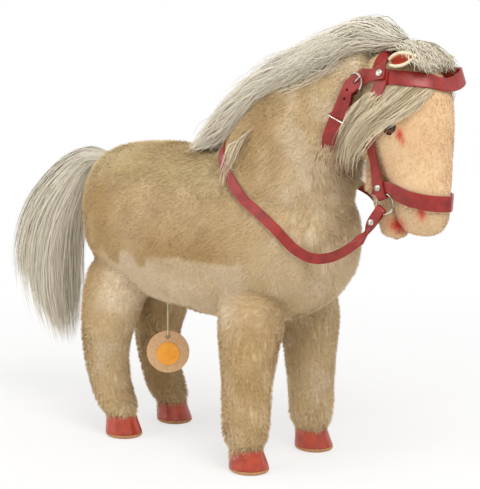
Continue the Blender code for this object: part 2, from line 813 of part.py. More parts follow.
def folded_end(centre, side, direction, far_offset, tail_distance, width_out):
    # Stops of a strap that comes in along a direction, folds round the ring wire
    # and goes back inside itself. From the tail's end to the outer layer.
    across = direction.cross(Y * side)
    stops = [(ring_spot(centre, side, direction, tail_distance, -far_offset), TAB_WIDTH, 0, 0, across)]
    near = fold_centre + RING_WIRE_DIAMETER
    stops.append((ring_spot(centre, side, direction, near, -fold_offset), TAB_WIDTH, 0, 0, across))
    for step in range(FOLD_STEPS + 1):
        turn = math.pi * step / FOLD_STEPS
        inward = fold_centre - fold_offset * math.sin(turn)
        outward = -fold_offset * math.cos(turn)
        stops.append((ring_spot(centre, side, direction, inward, outward), TAB_WIDTH, 0, 0, across))
    stops.append((ring_spot(centre, side, direction, near, fold_offset), TAB_WIDTH, 0, 0, across))
    stops.append((ring_spot(centre, side, direction, tail_distance, far_offset), width_out, 0, 0, across))
    return stops


ring_centres = {}
cheek_directions = {}
rein_directions = {}
for side_name, side in (("left", 1), ("right", -1)):
    forward, aside, high = RING_PLACE_SHARES
    centre = head_place(forward, side * aside, high)
    ring_centres[side] = centre
    cheek_directions[side] = X * math.cos(CHEEK_ANGLE) + Z * math.sin(CHEEK_ANGLE)
    rein_directions[side] = X * math.cos(REIN_ANGLE) + Z * math.sin(REIN_ANGLE)
    ring_points = []
    for step in range(28):
        turn = math.tau * step / 28
        ring_points.append((ring_radius * math.cos(turn), 0.0, ring_radius * math.sin(turn)))
    ring = wire("ring_" + side_name, ring_points, RING_WIRE_DIAMETER, nickel, closed=True)
    ring.location = centre

# Straps of the head. Places are shares of the head, with the right side first.
BROW_RIVET_SHARES = (-0.06, 0.90, 0.805)
rivet_places = {}
for side in (1, -1):
    forward, aside, high = BROW_RIVET_SHARES
    rivet_places[side] = nearest(head_place(forward, side * aside, high))[:2]
rivet_cut = RIVET_SHANK_DIAMETER + 2 * GAP
brow_holes = {}
cheek_holes = {}
rein_holes = {}
for side_name, side in (("left", 1), ("right", -1)):
    place, outward = rivet_places[side]
    brow_holes[side] = peg("brow_hole_" + side_name, place, outward, rivet_cut, 2 * STRAP_WIDTH)
    centre = ring_centres[side]
    cheek_rivet = ring_spot(centre, side, cheek_directions[side], CHEEK_RIVET_DISTANCE, 0)
    cheek_holes[side] = peg("cheek_hole_" + side_name, cheek_rivet, Y, rivet_cut, STRAP_WIDTH)
    cap_height = fold_offset + STRAP_THICKNESS / 2
    rivet(
        "rivet_cheek_" + side_name, cheek_rivet + Y * (side * (cap_height + GAP)), Y * side,
        2 * cap_height,
    )
    rein_rivet = ring_spot(centre, side, rein_directions[side], REIN_RIVET_DISTANCE, 0)
    rein_holes[side] = peg("rein_hole_" + side_name, rein_rivet, Y, rivet_cut, STRAP_WIDTH)
    rivet(
        "rivet_rein_" + side_name, rein_rivet + Y * (side * (layer + GAP)), Y * side,
        layer + STRAP_THICKNESS,
    )

# Browband: from the right brow rivet round the forehead; its left half bows out loosely.
BROW_RIGHT_SHARES = [(0.07, 0.86, 0.795), (0.27, 0.50, 0.780), (0.385, 0.0, 0.765)]
BROW_LEFT_SHARES = [(0.425, 0.55, 0.785), (0.345, 1.02, 0.815), (0.12, 1.12, 0.825)]
BROW_LEFT_LIFT_SHARES = [0.7, 1.6, 0.9]
brow_stops = []
for side in (-1, 1):
    place, outward = rivet_places[side]
    spot = place + outward * first_layer
    end = (spot - X * (STRAP_WIDTH / 2), STRAP_WIDTH, first_layer, 1.0, None)
    rivet_stop = (spot, STRAP_WIDTH, first_layer, 1.0, None)
    if side == -1:
        brow_stops += [end, rivet_stop]
        for forward, aside, high in BROW_RIGHT_SHARES:
            brow_stops.append((head_place(forward, -aside, high), STRAP_WIDTH, first_layer, 1.0, None))
    else:
        for (forward, aside, high), lift in zip(BROW_LEFT_SHARES, BROW_LEFT_LIFT_SHARES):
            spot_out, outward_out, signed = nearest(head_place(forward, aside, high))
            bowed = spot_out + outward_out * (lift * NARROW_WIDTH)
            brow_stops.append((bowed, STRAP_WIDTH, first_layer, 0.0, None))
        brow_stops += [rivet_stop, end]
browband = strap("browband", brow_stops, (brow_holes[-1], brow_holes[1]))

# Cheek straps: from the brow rivet down the cheek, folded round the ring.
cheek_straps = {}
CHEEK_STOP_SHARES = [(-0.055, 0.95, 0.775), (-0.125, 0.98, 0.66), (-0.185, 0.98, 0.54), (-0.19, 0.90, 0.42)]
for side_name, side in (("left", 1), ("right", -1)):
    centre, direction = ring_centres[side], cheek_directions[side]
    cheek_tail = CHEEK_RIVET_DISTANCE + TAB_WIDTH / 2
    stops = folded_end(centre, side, direction, fold_offset, cheek_tail, NARROW_WIDTH)
    for forward, aside, high in reversed(CHEEK_STOP_SHARES):
        stops.append((head_place(forward, side * aside, high), NARROW_WIDTH, second_layer, 0.7, None))
    place, outward = rivet_places[side]
    end = place + Z * (NARROW_WIDTH * 0.4)
    stops.append((place + outward * second_layer, NARROW_WIDTH, second_layer, 1.0, None))
    stops.append((end + outward * second_layer, NARROW_WIDTH, second_layer, 1.0, None))
    holes = (brow_holes[side], cheek_holes[side])
    cheek_straps[side] = strap("cheek_strap_" + side_name, stops, holes, under=[browband])

# Noseband: round the front of the muzzle between the two cheek rivets.
NOSE_STOP_SHARES = [(0.135, 0.63, 0.21), (0.25, 0.50, 0.195), (0.35, 0.27, 0.182), (0.395, 0.0, 0.178)]
nose_layer = first_layer + 2 * GAP
nose_stops = []
for side in (-1, 1):
    run = []
    centre, direction = ring_centres[side], cheek_directions[side]
    cheek_rivet = ring_spot(centre, side, direction, CHEEK_RIVET_DISTANCE, 0)
    across = Z + X * 0.28
    run.append((cheek_rivet - X * (STRAP_WIDTH / 2), STRAP_WIDTH, 0, 0, -across))
    run.append((cheek_rivet, STRAP_WIDTH, 0, 0, -across))
    run.append((cheek_rivet + X * STRAP_WIDTH - Z * (STRAP_WIDTH / 5), STRAP_WIDTH, 0, 0, -across))
    for forward, aside, high in NOSE_STOP_SHARES:
        if aside == 0.0 and side == 1:
            continue
        run.append((head_place(forward, side * aside, high), STRAP_WIDTH, nose_layer, 0.4, None))
    nose_stops += run if side == -1 else list(reversed(run))
ring_notches = []
for side in (-1, 1):
    notch = RING_DIAMETER + 3 * GAP
    ring_notches.append(peg("ring_notch", ring_centres[side], Y, notch, STRAP_WIDTH, 28))
strap("noseband", nose_stops, (*ring_notches, cheek_holes[-1], cheek_holes[1]))

# Buckle seat: a flat place behind the right temple where the strap is fastened.
HEEL_BAR_SHARES = (-0.345, 0.92, 0.755)
SEAT_TRAVEL = Vector((-0.84, 0.0, -0.54)).normalized()
forward, aside, high = HEEL_BAR_SHARES
seat_place = nearest(head_place(forward, -aside, high))[0]
seat_out = (Vector((0, -1, 0)) - SEAT_TRAVEL * Vector((0, -1, 0)).dot(SEAT_TRAVEL)).normalized()
seat_across = SEAT_TRAVEL.cross(seat_out).normalized()
bar = BUCKLE_WIRE_DIAMETER / 2
half_strap = STRAP_THICKNESS / 2
lower_fold = first_layer
heel_height = lower_fold + half_strap + GAP + bar
upper_fold = heel_height + bar + GAP + half_strap
billet_heel = upper_fold + layer
keeper_wire = KEEPER_WIRE_DIAMETER / 2


def seat(along, across, out):
    # A place at the buckle: along the strap's travel, across it, and out from the pile.
    return seat_place + SEAT_TRAVEL * along + seat_across * across + seat_out * out


# Throat strap: its chape folds round the heel bar, and it runs round the throat
# to the left temple. The billet end of the crown strap lies on it.
NECK_RUN_SHARES = [(-0.475, 0.84, 0.665), (-0.58, 0.80, 0.575), (-0.655, 0.77, 0.49)]
THROAT_RUN_SHARES = [(-0.70, 0.62, 0.385), (-0.66, 0.0, 0.315)]
under_keeper = PILE_CLEARANCE + 2 * KEEPER_WIRE_DIAMETER + GAP + half_strap
run_places = [kept_off(head_place(f, -s, h), under_keeper, 0.9) for f, s, h in NECK_RUN_SHARES]
run_outs = []
run_acrosses = []
for before, after in zip([seat(0, 0, upper_fold), *run_places], [*run_places[1:], None]):
    travel = (after or run_places[-1]) - before
    facing_out = seat_out + nearest(run_places[len(run_outs)])[1]
    out = (facing_out - travel * (facing_out.dot(travel) / travel.length_squared)).normalized()
    run_outs.append(out)
    run_acrosses.append(travel.cross(out).normalized())
throat_stops = []
for along in (STRAP_WIDTH * 0.55, 0.0):
    throat_stops.append((seat(along, 0, lower_fold), STRAP_WIDTH, 0, 0, seat_across))
fold_reach = (upper_fold - lower_fold) / 2
for step in range(1, FOLD_STEPS):
    turn = math.pi * step / FOLD_STEPS
    middle = (upper_fold + lower_fold) / 2
    spot = seat(-fold_reach * math.sin(turn), 0, middle - fold_reach * math.cos(turn))
    throat_stops.append((spot, STRAP_WIDTH, 0, 0, seat_across))
for along in (0.0, STRAP_WIDTH * 0.2):
    throat_stops.append((seat(along, 0, upper_fold), STRAP_WIDTH, 0, 0, seat_across))
for place, across in zip(run_places, run_acrosses):
    throat_stops.append((place, STRAP_WIDTH, 0, 0, across))
for side in (-1, 1):
    places = THROAT_RUN_SHARES if side == -1 else [THROAT_RUN_SHARES[0]]
    for forward, aside, high in places:
        throat_stops.append((head_place(forward, side * aside, high), STRAP_WIDTH, first_layer, 0.6, None))
for forward, aside, high in reversed(NECK_RUN_SHARES):
    throat_stops.append((head_place(forward, aside, high), STRAP_WIDTH, first_layer, 0.9, None))
left_join = nearest(head_place(*HEEL_BAR_SHARES))
join_travel = Vector((-SEAT_TRAVEL.x, SEAT_TRAVEL.y, -SEAT_TRAVEL.z))
throat_stops.append((left_join[0] + left_join[1] * first_layer, STRAP_WIDTH, first_layer, 1.0, None))
end = left_join[0] + left_join[1] * first_layer + join_travel * (STRAP_WIDTH / 2)
throat_stops.append((end, STRAP_WIDTH, first_layer, 1.0, None))
join_hole = peg(
    "join_hole_left", left_join[0] + left_join[1] * first_layer, left_join[1], rivet_cut, 2 * STRAP_WIDTH
)
prong_slot = peg(
    "prong_slot", seat(-fold_reach, 0, heel_height), seat_across, 4 * fold_reach,
    PRONG_WIRE_DIAMETER + 2 * GAP, 16,
)
throat_strap = strap("throat_strap", throat_stops, (join_hole, prong_slot))

# Crown strap: from the left temple over the poll, under the buckle's front bar,
# over its heel bar, through the keeper, to a free end on the neck.
FIRST_HOLE_SHARE = 0.30
CROWN_SHARES = [(-0.13, 0.82, 0.86), (-0.13, 0.48, 0.91), (-0.10, 0.0, 0.93)]
crown_stops = []
end = left_join[0] + left_join[1] * second_layer - join_travel * (STRAP_WIDTH / 2)
crown_stops.append((end, STRAP_WIDTH, second_layer, 1.0, None))
crown_stops.append((left_join[0] + left_join[1] * second_layer, STRAP_WIDTH, second_layer, 1.0, None))
cheek_crossing = nearest(head_place(-0.20, 0.94, 0.775))
crown_stops.append((cheek_crossing[0] + cheek_crossing[1] * third_layer, STRAP_WIDTH, third_layer, 1.0, None))
brow_height = third_layer + 4 * GAP
over_rivet = rivet_places[1][0] + rivet_places[1][1] * brow_height
crown_stops.append((over_rivet, STRAP_WIDTH, brow_height, 1.0, None))
for side in (1, -1):
    places = CROWN_SHARES if side == 1 else list(reversed(CROWN_SHARES[:-1]))
    for forward, aside, high in places:
        crown_stops.append((head_place(forward, side * aside, high), STRAP_WIDTH, first_layer, 1.0, None))
over_rivet = rivet_places[-1][0] + rivet_places[-1][1] * brow_height
crown_stops.append((over_rivet, STRAP_WIDTH, brow_height, 1.0, None))
for share in (1.3, 1.0):
    crown_stops.append((seat(-BUCKLE_LENGTH * share, 0, third_layer), STRAP_WIDTH, 0, 0, seat_across))
for share in (0.0, 0.2):
    crown_stops.append((seat(STRAP_WIDTH * share, 0, billet_heel), STRAP_WIDTH, 0, 0, seat_across))
for place, out, across in zip(run_places, run_outs, run_acrosses):
    crown_stops.append((place + out * (layer + GAP), STRAP_WIDTH, 0, 0, across))
spare_holes = []
billet_start = seat(STRAP_WIDTH * 0.2, 0, billet_heel)
billet_run = run_places[0] + run_outs[0] * (layer + GAP) - billet_start
for number in range(SPARE_HOLES):
    share = BILLET_HOLE_PITCH * (number + FIRST_HOLE_SHARE) / billet_run.length
    hole_out = seat_out.lerp(run_outs[0], share).normalized()
    spare_holes.append(
        peg("spare_hole", billet_start + billet_run * share, hole_out, BILLET_HOLE_DIAMETER, STRAP_WIDTH, 10)
    )
crown_under = [browband, throat_strap, *cheek_straps.values()]
crown_holes = (brow_holes[-1], brow_holes[1], join_hole, *spare_holes)
crown_strap = strap("crown_strap", crown_stops, crown_holes, under=crown_under)

# Buckle frame: a flat heel bar, and a front bar that bows over the strap.
frame_half = STRAP_WIDTH / 2 + GAP + bar
frame_points = []
FRAME_STEPS = 12
FRAME_RISE_SHARE = 0.6
front_height = 0.0
crown_tree = strap_tree(crown_strap)
for along_share in (1.15, 1.0, 0.85, 0.7):
    for across_share in (-0.5, -0.25, 0.0, 0.25, 0.5):
        over = seat(-BUCKLE_LENGTH * along_share, STRAP_WIDTH * across_share, 12 * STRAP_THICKNESS)
        spot = crown_tree.ray_cast(over, -seat_out, 12 * STRAP_THICKNESS)[0]
        if spot is not None:
            front_height = max(front_height, (spot - seat_place).dot(seat_out) + 1.3 * GAP + bar)
for step in range(FRAME_STEPS + 1):
    turn = math.pi * step / FRAME_STEPS
    reach = BUCKLE_LENGTH * math.sin(turn) ** 0.55
    rise_share = min(1.0, reach / BUCKLE_LENGTH / FRAME_RISE_SHARE)
    lift = heel_height + (front_height - heel_height) * rise_share
    frame_points.append(seat(-reach, frame_half * math.cos(turn), lift))
frame_points += [seat(0, -frame_half / 3, heel_height), seat(0, frame_half / 3, heel_height)]
wire("buckle_frame", frame_points, BUCKLE_WIRE_DIAMETER, nickel, closed=True)

# Prong: its eye turns on the heel bar, and its tip rests on the front bar.
prong_radius = PRONG_WIRE_DIAMETER / 2
eye_radius_prong = bar + GAP + prong_radius
prong_points = []
for step in range(9):
    turn = math.radians(-60) - math.radians(210) * step / 8
    prong_points.append(
        seat(eye_radius_prong * math.cos(turn), 0, heel_height + eye_radius_prong * math.sin(turn))
    )
tip_height = front_height + bar + GAP + prong_radius
prong_points.append(seat(-BUCKLE_LENGTH * 0.55, 0, (upper_fold + tip_height) / 2 + prong_radius))
prong_points.append(seat(-BUCKLE_LENGTH, 0, tip_height))
prong_points.append(seat(-BUCKLE_LENGTH - BUCKLE_WIRE_DIAMETER, 0, tip_height))
buckle_prong = wire("buckle_prong", prong_points, PRONG_WIRE_DIAMETER, nickel)
cut(crown_strap, grown_copy(buckle_prong, GAP), "Prong slot")
pressed(neck, throat_strap)
rivet_through("rivet_throat_left", left_join[0], left_join[1], [crown_strap])
for side_name, side in (("left", 1), ("right", -1)):
    rivet_through("rivet_brow_" + side_name, *rivet_places[side], [crown_strap])

# Keeper: a wire loop that slides on the free end of the crown strap and the
# throat strap under it.
KEEPER_ALONG_SHARE = 0.7
keeper_place = run_places[0].lerp(run_places[1], KEEPER_ALONG_SHARE) + run_outs[1] * ((layer + GAP) / 2)
keeper_out = run_outs[1]
keeper_travel = (run_places[1] - run_places[0]).normalized()
keeper_across = keeper_travel.cross(keeper_out).normalized()
keeper_long = STRAP_WIDTH / 2 + 3 * GAP + keeper_wire
keeper_tall = (layer + GAP) / 2 + half_strap + 2 * GAP + keeper_wire
KEEPER_STEPS = 20
keeper_points = []
for step in range(KEEPER_STEPS):
    turn = math.tau * (step + 0.5) / KEEPER_STEPS
    side_share = math.copysign(abs(math.cos(turn)) ** 0.3, math.cos(turn))
    out_share = math.copysign(abs(math.sin(turn)) ** 0.3, math.sin(turn))
    keeper_points.append(
        keeper_place + keeper_across * (keeper_long * side_share) + keeper_out * (keeper_tall * out_share)
    )
wire("keeper_loop", keeper_points, KEEPER_WIRE_DIAMETER, nickel, closed=True)

# Reins: one strap from ring to ring, over the neck under the mane.
# Shares of the torso: along, aside, height.
REIN_RIGHT_SHARES = [
    (1.115, 0.370, 0.577), (1.080, 0.480, 0.504), (1.028, 0.565, 0.447), (0.968, 0.675, 0.439),
    (0.933, 0.785, 0.488), (0.894, 0.860, 0.569), (0.812, 0.870, 0.675), (0.757, 0.830, 0.732),
    (0.696, 0.740, 0.837), (0.653, 0.630, 0.910),
]
REIN_OVER_SHARES = [(0.620, 0.400, 0.990), (0.600, 0.000, 1.030)]
REIN_LEFT_SHARES = [
    (0.655, -0.450, 0.990), (0.770, -0.810, 0.894), (0.890, -0.830, 0.797), (0.985, -0.655, 0.748),
    (1.045, -0.430, 0.700),
]
# Where the ring hangs beside a standard torso, and how much of its shift each stop near it takes.
RING_BY_TORSO_SHARES = (1.168, 0.337, 0.728)
RING_FOLLOW_SHARES = (1.0, 0.85, 0.6, 0.35, 0.15)
REIN_SPACING = 1.6 * ROW_SPACING
rein_places = []
for along, aside, high in REIN_RIGHT_SHARES + REIN_OVER_SHARES + REIN_LEFT_SHARES:
    rein_places.append(torso_place(along, -aside, high))
along, aside, high = RING_BY_TORSO_SHARES
for number, follow in enumerate(RING_FOLLOW_SHARES):
    for side, row in ((-1, number), (1, -1 - number)):
        shift = ring_centres[side] - torso_place(along, side * aside, high)
        rein_places[row] = rein_places[row] + shift * follow
rein_rows = [(place, REIN_WIDTH, first_layer, 0.0, None) for place in rein_places]
rein_tail = REIN_RIVET_DISTANCE + TAB_WIDTH / 2
right_end = folded_end(ring_centres[-1], -1, rein_directions[-1], layer / 2, rein_tail, REIN_WIDTH)
left_end = folded_end(ring_centres[1], 1, rein_directions[1], layer / 2, rein_tail, REIN_WIDTH)
left_end = [(*stop[:4], -stop[4]) for stop in reversed(left_end)]
strap("reins", right_end + rein_rows + left_end, (rein_holes[-1], rein_holes[1]), REIN_SPACING)

# Leg wires: one bent wire through the front legs, one through the rear legs.
channel_diameter = LEG_WIRE_DIAMETER + 2 * GAP
WIRE_FOOT_SHARE = 0.10
for name, hoof_x, track, shares in (
    ("front", FRONT_HOOVES, FRONT_TRACK, FRONT_LEG_SHARES),
    ("rear", rear_hooves, REAR_TRACK, REAR_LEG_SHARES),
):
    half = []
    wire_foot = cuff_foot + HOOF_HEIGHT * WIRE_FOOT_SHARE + LEG_WIRE_DIAMETER
    half.append(Vector((hoof_x, track / 2, wire_foot)))
    for high, back, inward, long, wide in shares:
        place = Vector((hoof_x, track / 2, high * BELLY_HEIGHT))
        half.append(place - Vector((back * LEG_DIAMETER, inward * LEG_DIAMETER, 0)))
    mirrored = [Vector((point.x, -point.y, point.z)) for point in reversed(half)]
    bend = half + mirrored
    shares_along = even_shares(bend, 2 * ROW_SPACING)
    points = spline(bend, shares_along)
    wire("leg_wire_" + name, points, LEG_WIRE_DIAMETER, steel, sides=1)
    channel_points = [points[0] - Z * GAP, *points, points[-1] - Z * GAP]
    channel = wire("leg_channel_" + name, channel_points, channel_diameter, None, sides=1, collection=cutters)
    for obj in (torso, legs[name + "_left"], legs[name + "_right"]):
        cut(obj, channel, "Cut wire")

# Price tag: a card disc that hangs on a thread from the belly, with a round sticker.
TAG_PLACE_SHARES = (0.353, -0.174, -0.228)
tag_facing = Vector((math.sin(math.radians(TAG_TURN)), -math.cos(math.radians(TAG_TURN)), 0.0))
tag_centre = torso_place(*TAG_PLACE_SHARES)
card_radius = TAG_DIAMETER / 2
card_outline = [(0.0, TAG_THICKNESS / 2), (card_radius, TAG_THICKNESS / 2)]
card_outline += [(card_radius, -TAG_THICKNESS / 2), (0.0, -TAG_THICKNESS / 2)]
tag_card = turned("tag_card", card_outline, card, 48)
tag_card.matrix_world = facing(tag_centre, tag_facing)
tag_hole = tag_centre + Z * (card_radius - TAG_HOLE_EDGE)
cut(tag_card, peg("tag_hole", tag_hole, tag_facing, TAG_HOLE_DIAMETER, TAG_DIAMETER, 20), "Hole")
sticker_radius = STICKER_DIAMETER / 2
sticker_outline = [(0.0, STICKER_THICKNESS / 2), (sticker_radius, STICKER_THICKNESS / 2)]
sticker_outline += [(sticker_radius, -STICKER_THICKNESS / 2), (0.0, -STICKER_THICKNESS / 2)]
sticker_place = tag_centre + tag_facing * (TAG_THICKNESS / 2 + GAP + STICKER_THICKNESS / 2)
tag_sticker = turned("tag_sticker", sticker_outline, sticker, 40)
tag_sticker.matrix_world = facing(sticker_place - Z * (TAG_HOLE_EDGE / 3), tag_facing)

thread_radius = THREAD_DIAMETER / 2
strand_out = TAG_THICKNESS / 2 + GAP + thread_radius
thread_low = tag_hole + Z * (TAG_HOLE_DIAMETER / 2 - thread_radius - GAP)
thread_top = thread_low + Z * THREAD_DROP
thread_points = []
THREAD_STEPS = 10
for side in (1, -1):
    run = []
    for step in range(THREAD_STEPS + 1):
        share = step / THREAD_STEPS
        aside = strand_out * side * (1 + 0.6 * math.sin(math.pi * share))
        run.append(thread_top.lerp(thread_low + Z * thread_radius, share) + tag_facing * aside)
    thread_points += run if side == 1 else list(reversed(run))
    if side == 1:
        for step in range(1, 6):
            turn = math.pi * step / 6
            thread_points.append(
                thread_low + tag_facing * (strand_out * math.cos(turn)) - Z * (strand_out * math.sin(turn) / 2)
            )
wire("tag_thread", thread_points, THREAD_DIAMETER, cotton)
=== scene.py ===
import math
import bmesh
import bpy
import numpy as np
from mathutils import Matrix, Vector


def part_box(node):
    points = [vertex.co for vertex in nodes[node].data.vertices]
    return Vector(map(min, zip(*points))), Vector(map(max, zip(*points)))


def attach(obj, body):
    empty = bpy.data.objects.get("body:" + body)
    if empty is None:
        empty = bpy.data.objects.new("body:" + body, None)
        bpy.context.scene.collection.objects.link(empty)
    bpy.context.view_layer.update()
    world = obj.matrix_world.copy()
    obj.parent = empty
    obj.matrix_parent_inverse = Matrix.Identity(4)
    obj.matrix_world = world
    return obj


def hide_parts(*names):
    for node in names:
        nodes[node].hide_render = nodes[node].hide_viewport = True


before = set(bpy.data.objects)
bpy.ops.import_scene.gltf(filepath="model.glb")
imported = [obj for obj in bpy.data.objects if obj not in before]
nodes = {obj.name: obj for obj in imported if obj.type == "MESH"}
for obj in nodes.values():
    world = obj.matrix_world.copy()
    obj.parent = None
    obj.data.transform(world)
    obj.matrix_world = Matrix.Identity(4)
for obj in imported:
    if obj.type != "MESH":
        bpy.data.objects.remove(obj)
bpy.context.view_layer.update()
print("frame loaded")


# Small tools

def linearColour(hexText):
    # each sRGB channel goes to linear light by the standard curve
    channels = [int(hexText[i:i + 2], 16) / 255 for i in (1, 3, 5)]
    return [c / 12.92 if c < 0.04045 else ((c + 0.055) / 1.055) ** 2.4 for c in channels] + [1.0]


def addNode(material, kind, settings=None, inputs=None):
    # settings are the node's own fields, or a ramp's stops; inputs are numbers or other nodes' outputs
    node = material.node_tree.nodes.new("ShaderNode" + kind)
    for field, value in (settings or {}).items():
        if field == "stops":
            setStops(node.color_ramp, value)
        else:
            setattr(node, field, value)
    for socket, value in (inputs or {}).items():
        if isinstance(value, bpy.types.NodeSocket):
            material.node_tree.links.new(value, node.inputs[socket])
        else:
            node.inputs[socket].default_value = value
    return node


def setStops(ramp, stops):
    # stops are pairs of place and hex colour
    while len(ramp.elements) < len(stops):
        ramp.elements.new(0.5)
    for element, (place, hexText) in zip(ramp.elements, stops):
        element.position = place
        element.color = linearColour(hexText)


def newMaterial(name, settings):
    # a material with one Principled shader, whose plain numbers sit on its own sockets
    material = bpy.data.materials.new(name)
    material.use_nodes = True
    shader = material.node_tree.nodes["Principled BSDF"]
    for socket, value in settings.items():
        shader.inputs[socket].default_value = value
    return material, shader


def feed(material, shader, socket, output):
    material.node_tree.links.new(output, shader.inputs[socket])


def millimetreNoise(material, millimetres, detail=3.0, stretch=None):
    # noise on object coordinates whose features are about this many millimetres wide
    place = addNode(material, "TexCoord").outputs["Object"]
    if stretch:
        place = addNode(material, "Mapping", inputs={"Vector": place, "Scale": stretch}).outputs["Vector"]
    noise = addNode(material, "TexNoise", inputs={
        "Vector": place, "Scale": 1000 / millimetres, "Detail": detail, "Roughness": 0.55})
    return noise.outputs["Fac"]


def plainMaterial(name, settings, patches, stops, relief=None):
    # the stops colour a noise, given by millimetres and detail, or an attribute, given by name;
    # the relief is a noise too, with its real depth in metres and its strength
    material, shader = newMaterial(name, settings)
    if isinstance(patches, str):
        factor = addNode(material, "Attribute", {"attribute_name": patches}).outputs["Fac"]
    else:
        factor = millimetreNoise(material, *patches)
    ramp = addNode(material, "ValToRGB", {"stops": stops}, {"Fac": factor})
    feed(material, shader, "Base Color", ramp.outputs["Color"])
    if relief:
        size, detail, depth, strength = relief
        bump = addNode(material, "Bump", inputs={
            "Height": millimetreNoise(material, size, detail), "Distance": depth, "Strength": strength})
        feed(material, shader, "Normal", bump.outputs["Normal"])
    return material


def unit(vectors):
    return vectors / np.maximum(np.linalg.norm(vectors, axis=-1, keepdims=True), 1e-9)


def blend(low, high, share):
    return low + (high - low) * share


def smoothStep(values, low, high):
    # rises from 0 at low to 1 at high along 3t squared less 2t cubed
    share = np.clip((values - low) / (high - low), 0, 1)
    return share * share * (3 - 2 * share)


def cloudNoise(points, size, seed):
    # random numbers on a cubic lattice of this cell size, blended smoothly between the eight corners
    cells = 32
    table = np.random.default_rng(seed).random((cells, cells, cells))
    scaled = points / size + 10 * cells
    low = np.floor(scaled).astype(int)
    part = smoothStep(scaled - low, 0, 1)
    total = np.zeros(len(points))
    for corner in range(8):
        step = np.array([corner & 1, corner >> 1 & 1, corner >> 2])
        weight = np.prod(np.where(step, part, 1 - part), axis=1)
        cell = (low + step) % cells
        total += weight * table[cell[:, 0], cell[:, 1], cell[:, 2]]
    return total


def newObject(name, data):
    thing = bpy.data.objects.new(name, data)
    bpy.context.scene.collection.objects.link(thing)
    return thing


def meshFromArrays(name, points, faces, smooth=True):
    # faces is an array with one row of corners a face
    mesh = bpy.data.meshes.new(name)
    mesh.vertices.add(len(points))
    mesh.vertices.foreach_set("co", points.astype(np.float32).ravel())
    mesh.loops.add(faces.size)
    mesh.loops.foreach_set("vertex_index", faces.astype(np.int32).ravel())
    mesh.polygons.add(len(faces))
    mesh.polygons.foreach_set("loop_start", np.arange(0, faces.size, faces.shape[1], dtype=np.int32))
    mesh.polygons.foreach_set("use_smooth", np.full(len(faces), smooth))
    mesh.update(calc_edges=True)
    return newObject(name, mesh)


def gridQuads(rows, columns, roundRows=False, roundColumns=True):
    # the corners of a grid's cells; rows, columns or both may close round on themselves
    here = np.arange(rows if roundRows else rows - 1)[:, None]
    along = np.arange(columns if roundColumns else columns - 1)[None]
    here, after, onward = here * columns, (here + 1) % rows * columns, (along + 1) % columns
    return np.stack([here + along, after + along, after + onward, here + onward], -1).reshape(-1, 4)


def setAttribute(piece, name, values):
    layer = piece.data.attributes.new(name, "FLOAT", "POINT")
    layer.data.foreach_set("value", values.astype(np.float32).ravel())


def mergedCopy(name, sources, grow=0.0):
    # the CAD nodes' loose triangles are merged, and each solid may grow a little along its normals
    whole = bmesh.new()
    for source in sources:
        part = bmesh.new()
        part.from_mesh(nodes[source].data)
        bmesh.ops.remove_doubles(part, verts=part.verts, dist=1e-5)
        part.normal_update()
        for vertex in part.verts:
            vertex.co += vertex.normal * grow
        mesh = bpy.data.meshes.new("part")
        part.to_mesh(mesh)
        part.free()
        whole.from_mesh(mesh)
    mesh = bpy.data.meshes.new(name)
    whole.to_mesh(mesh)
    whole.free()
    return newObject(name, mesh)


def applyModifiers(piece, modifiers):
    # each kind of modifier has its settings; all are made real in this order
    for kind, settings in modifiers.items():
        modifier = piece.modifiers.new(kind.lower(), kind)
        for field, value in settings.items():
            setattr(modifier, field, value)
    mesh = bpy.data.meshes.new_from_object(piece.evaluated_get(bpy.context.evaluated_depsgraph_get()))
    piece.modifiers.clear()
    piece.data = mesh


def editMesh(piece, change):
    # the mesh is opened, changed and written back
    shell = bmesh.new()
    shell.from_mesh(piece.data)
    change(shell)
    shell.to_mesh(piece.data)
    shell.free()


def faceOutward(shell):
    bmesh.ops.recalc_face_normals(shell, faces=shell.faces)


def keepLargest(shell):
    # bubbles left inside by the remesh are dropped: only the largest connected shell stays
    left, groups = set(shell.verts), []
    while left:
        stack, group = [left.pop()], []
        while stack:
            vertex = stack.pop()
            group.append(vertex)
            for edge in vertex.link_edges:
                other = edge.other_vert(vertex)
                if other in left:
                    left.remove(other)
                    stack.append(other)
        groups.append(group)
    groups.sort(key=len)
    bmesh.ops.delete(shell, geom=[v for group in groups[:-1] for v in group], context="VERTS")


def sewnSkin(name, sources, settings):
    # solids that are sewn together become one skin: grown until they meet, remeshed and relaxed
    piece = mergedCopy(name, sources, settings["grow"])
    applyModifiers(piece, {"REMESH": {"mode": "VOXEL", "voxel_size": settings["voxel"]},
                           "SMOOTH": {"factor": 0.5, "iterations": settings["relax"]}})
    editMesh(piece, keepLargest)
    piece.data.polygons.foreach_set("use_smooth", np.full(len(piece.data.polygons), True))
    return piece


def fieldOf(items, field, kind=float):
    # a field of three numbers, with a row for each of a mesh's items
    values = np.empty(len(items) * 3, dtype=kind)
    items.foreach_get(field, values)
    return values.reshape(-1, 3)


def surfaceArrays(piece):
    # places, smooth normals and the corners of the triangles
    mesh = piece.data
    mesh.calc_loop_triangles()
    return (fieldOf(mesh.vertices, "co"), fieldOf(mesh.vertex_normals, "vector"),
            fieldOf(mesh.loop_triangles, "vertices", np.int32))


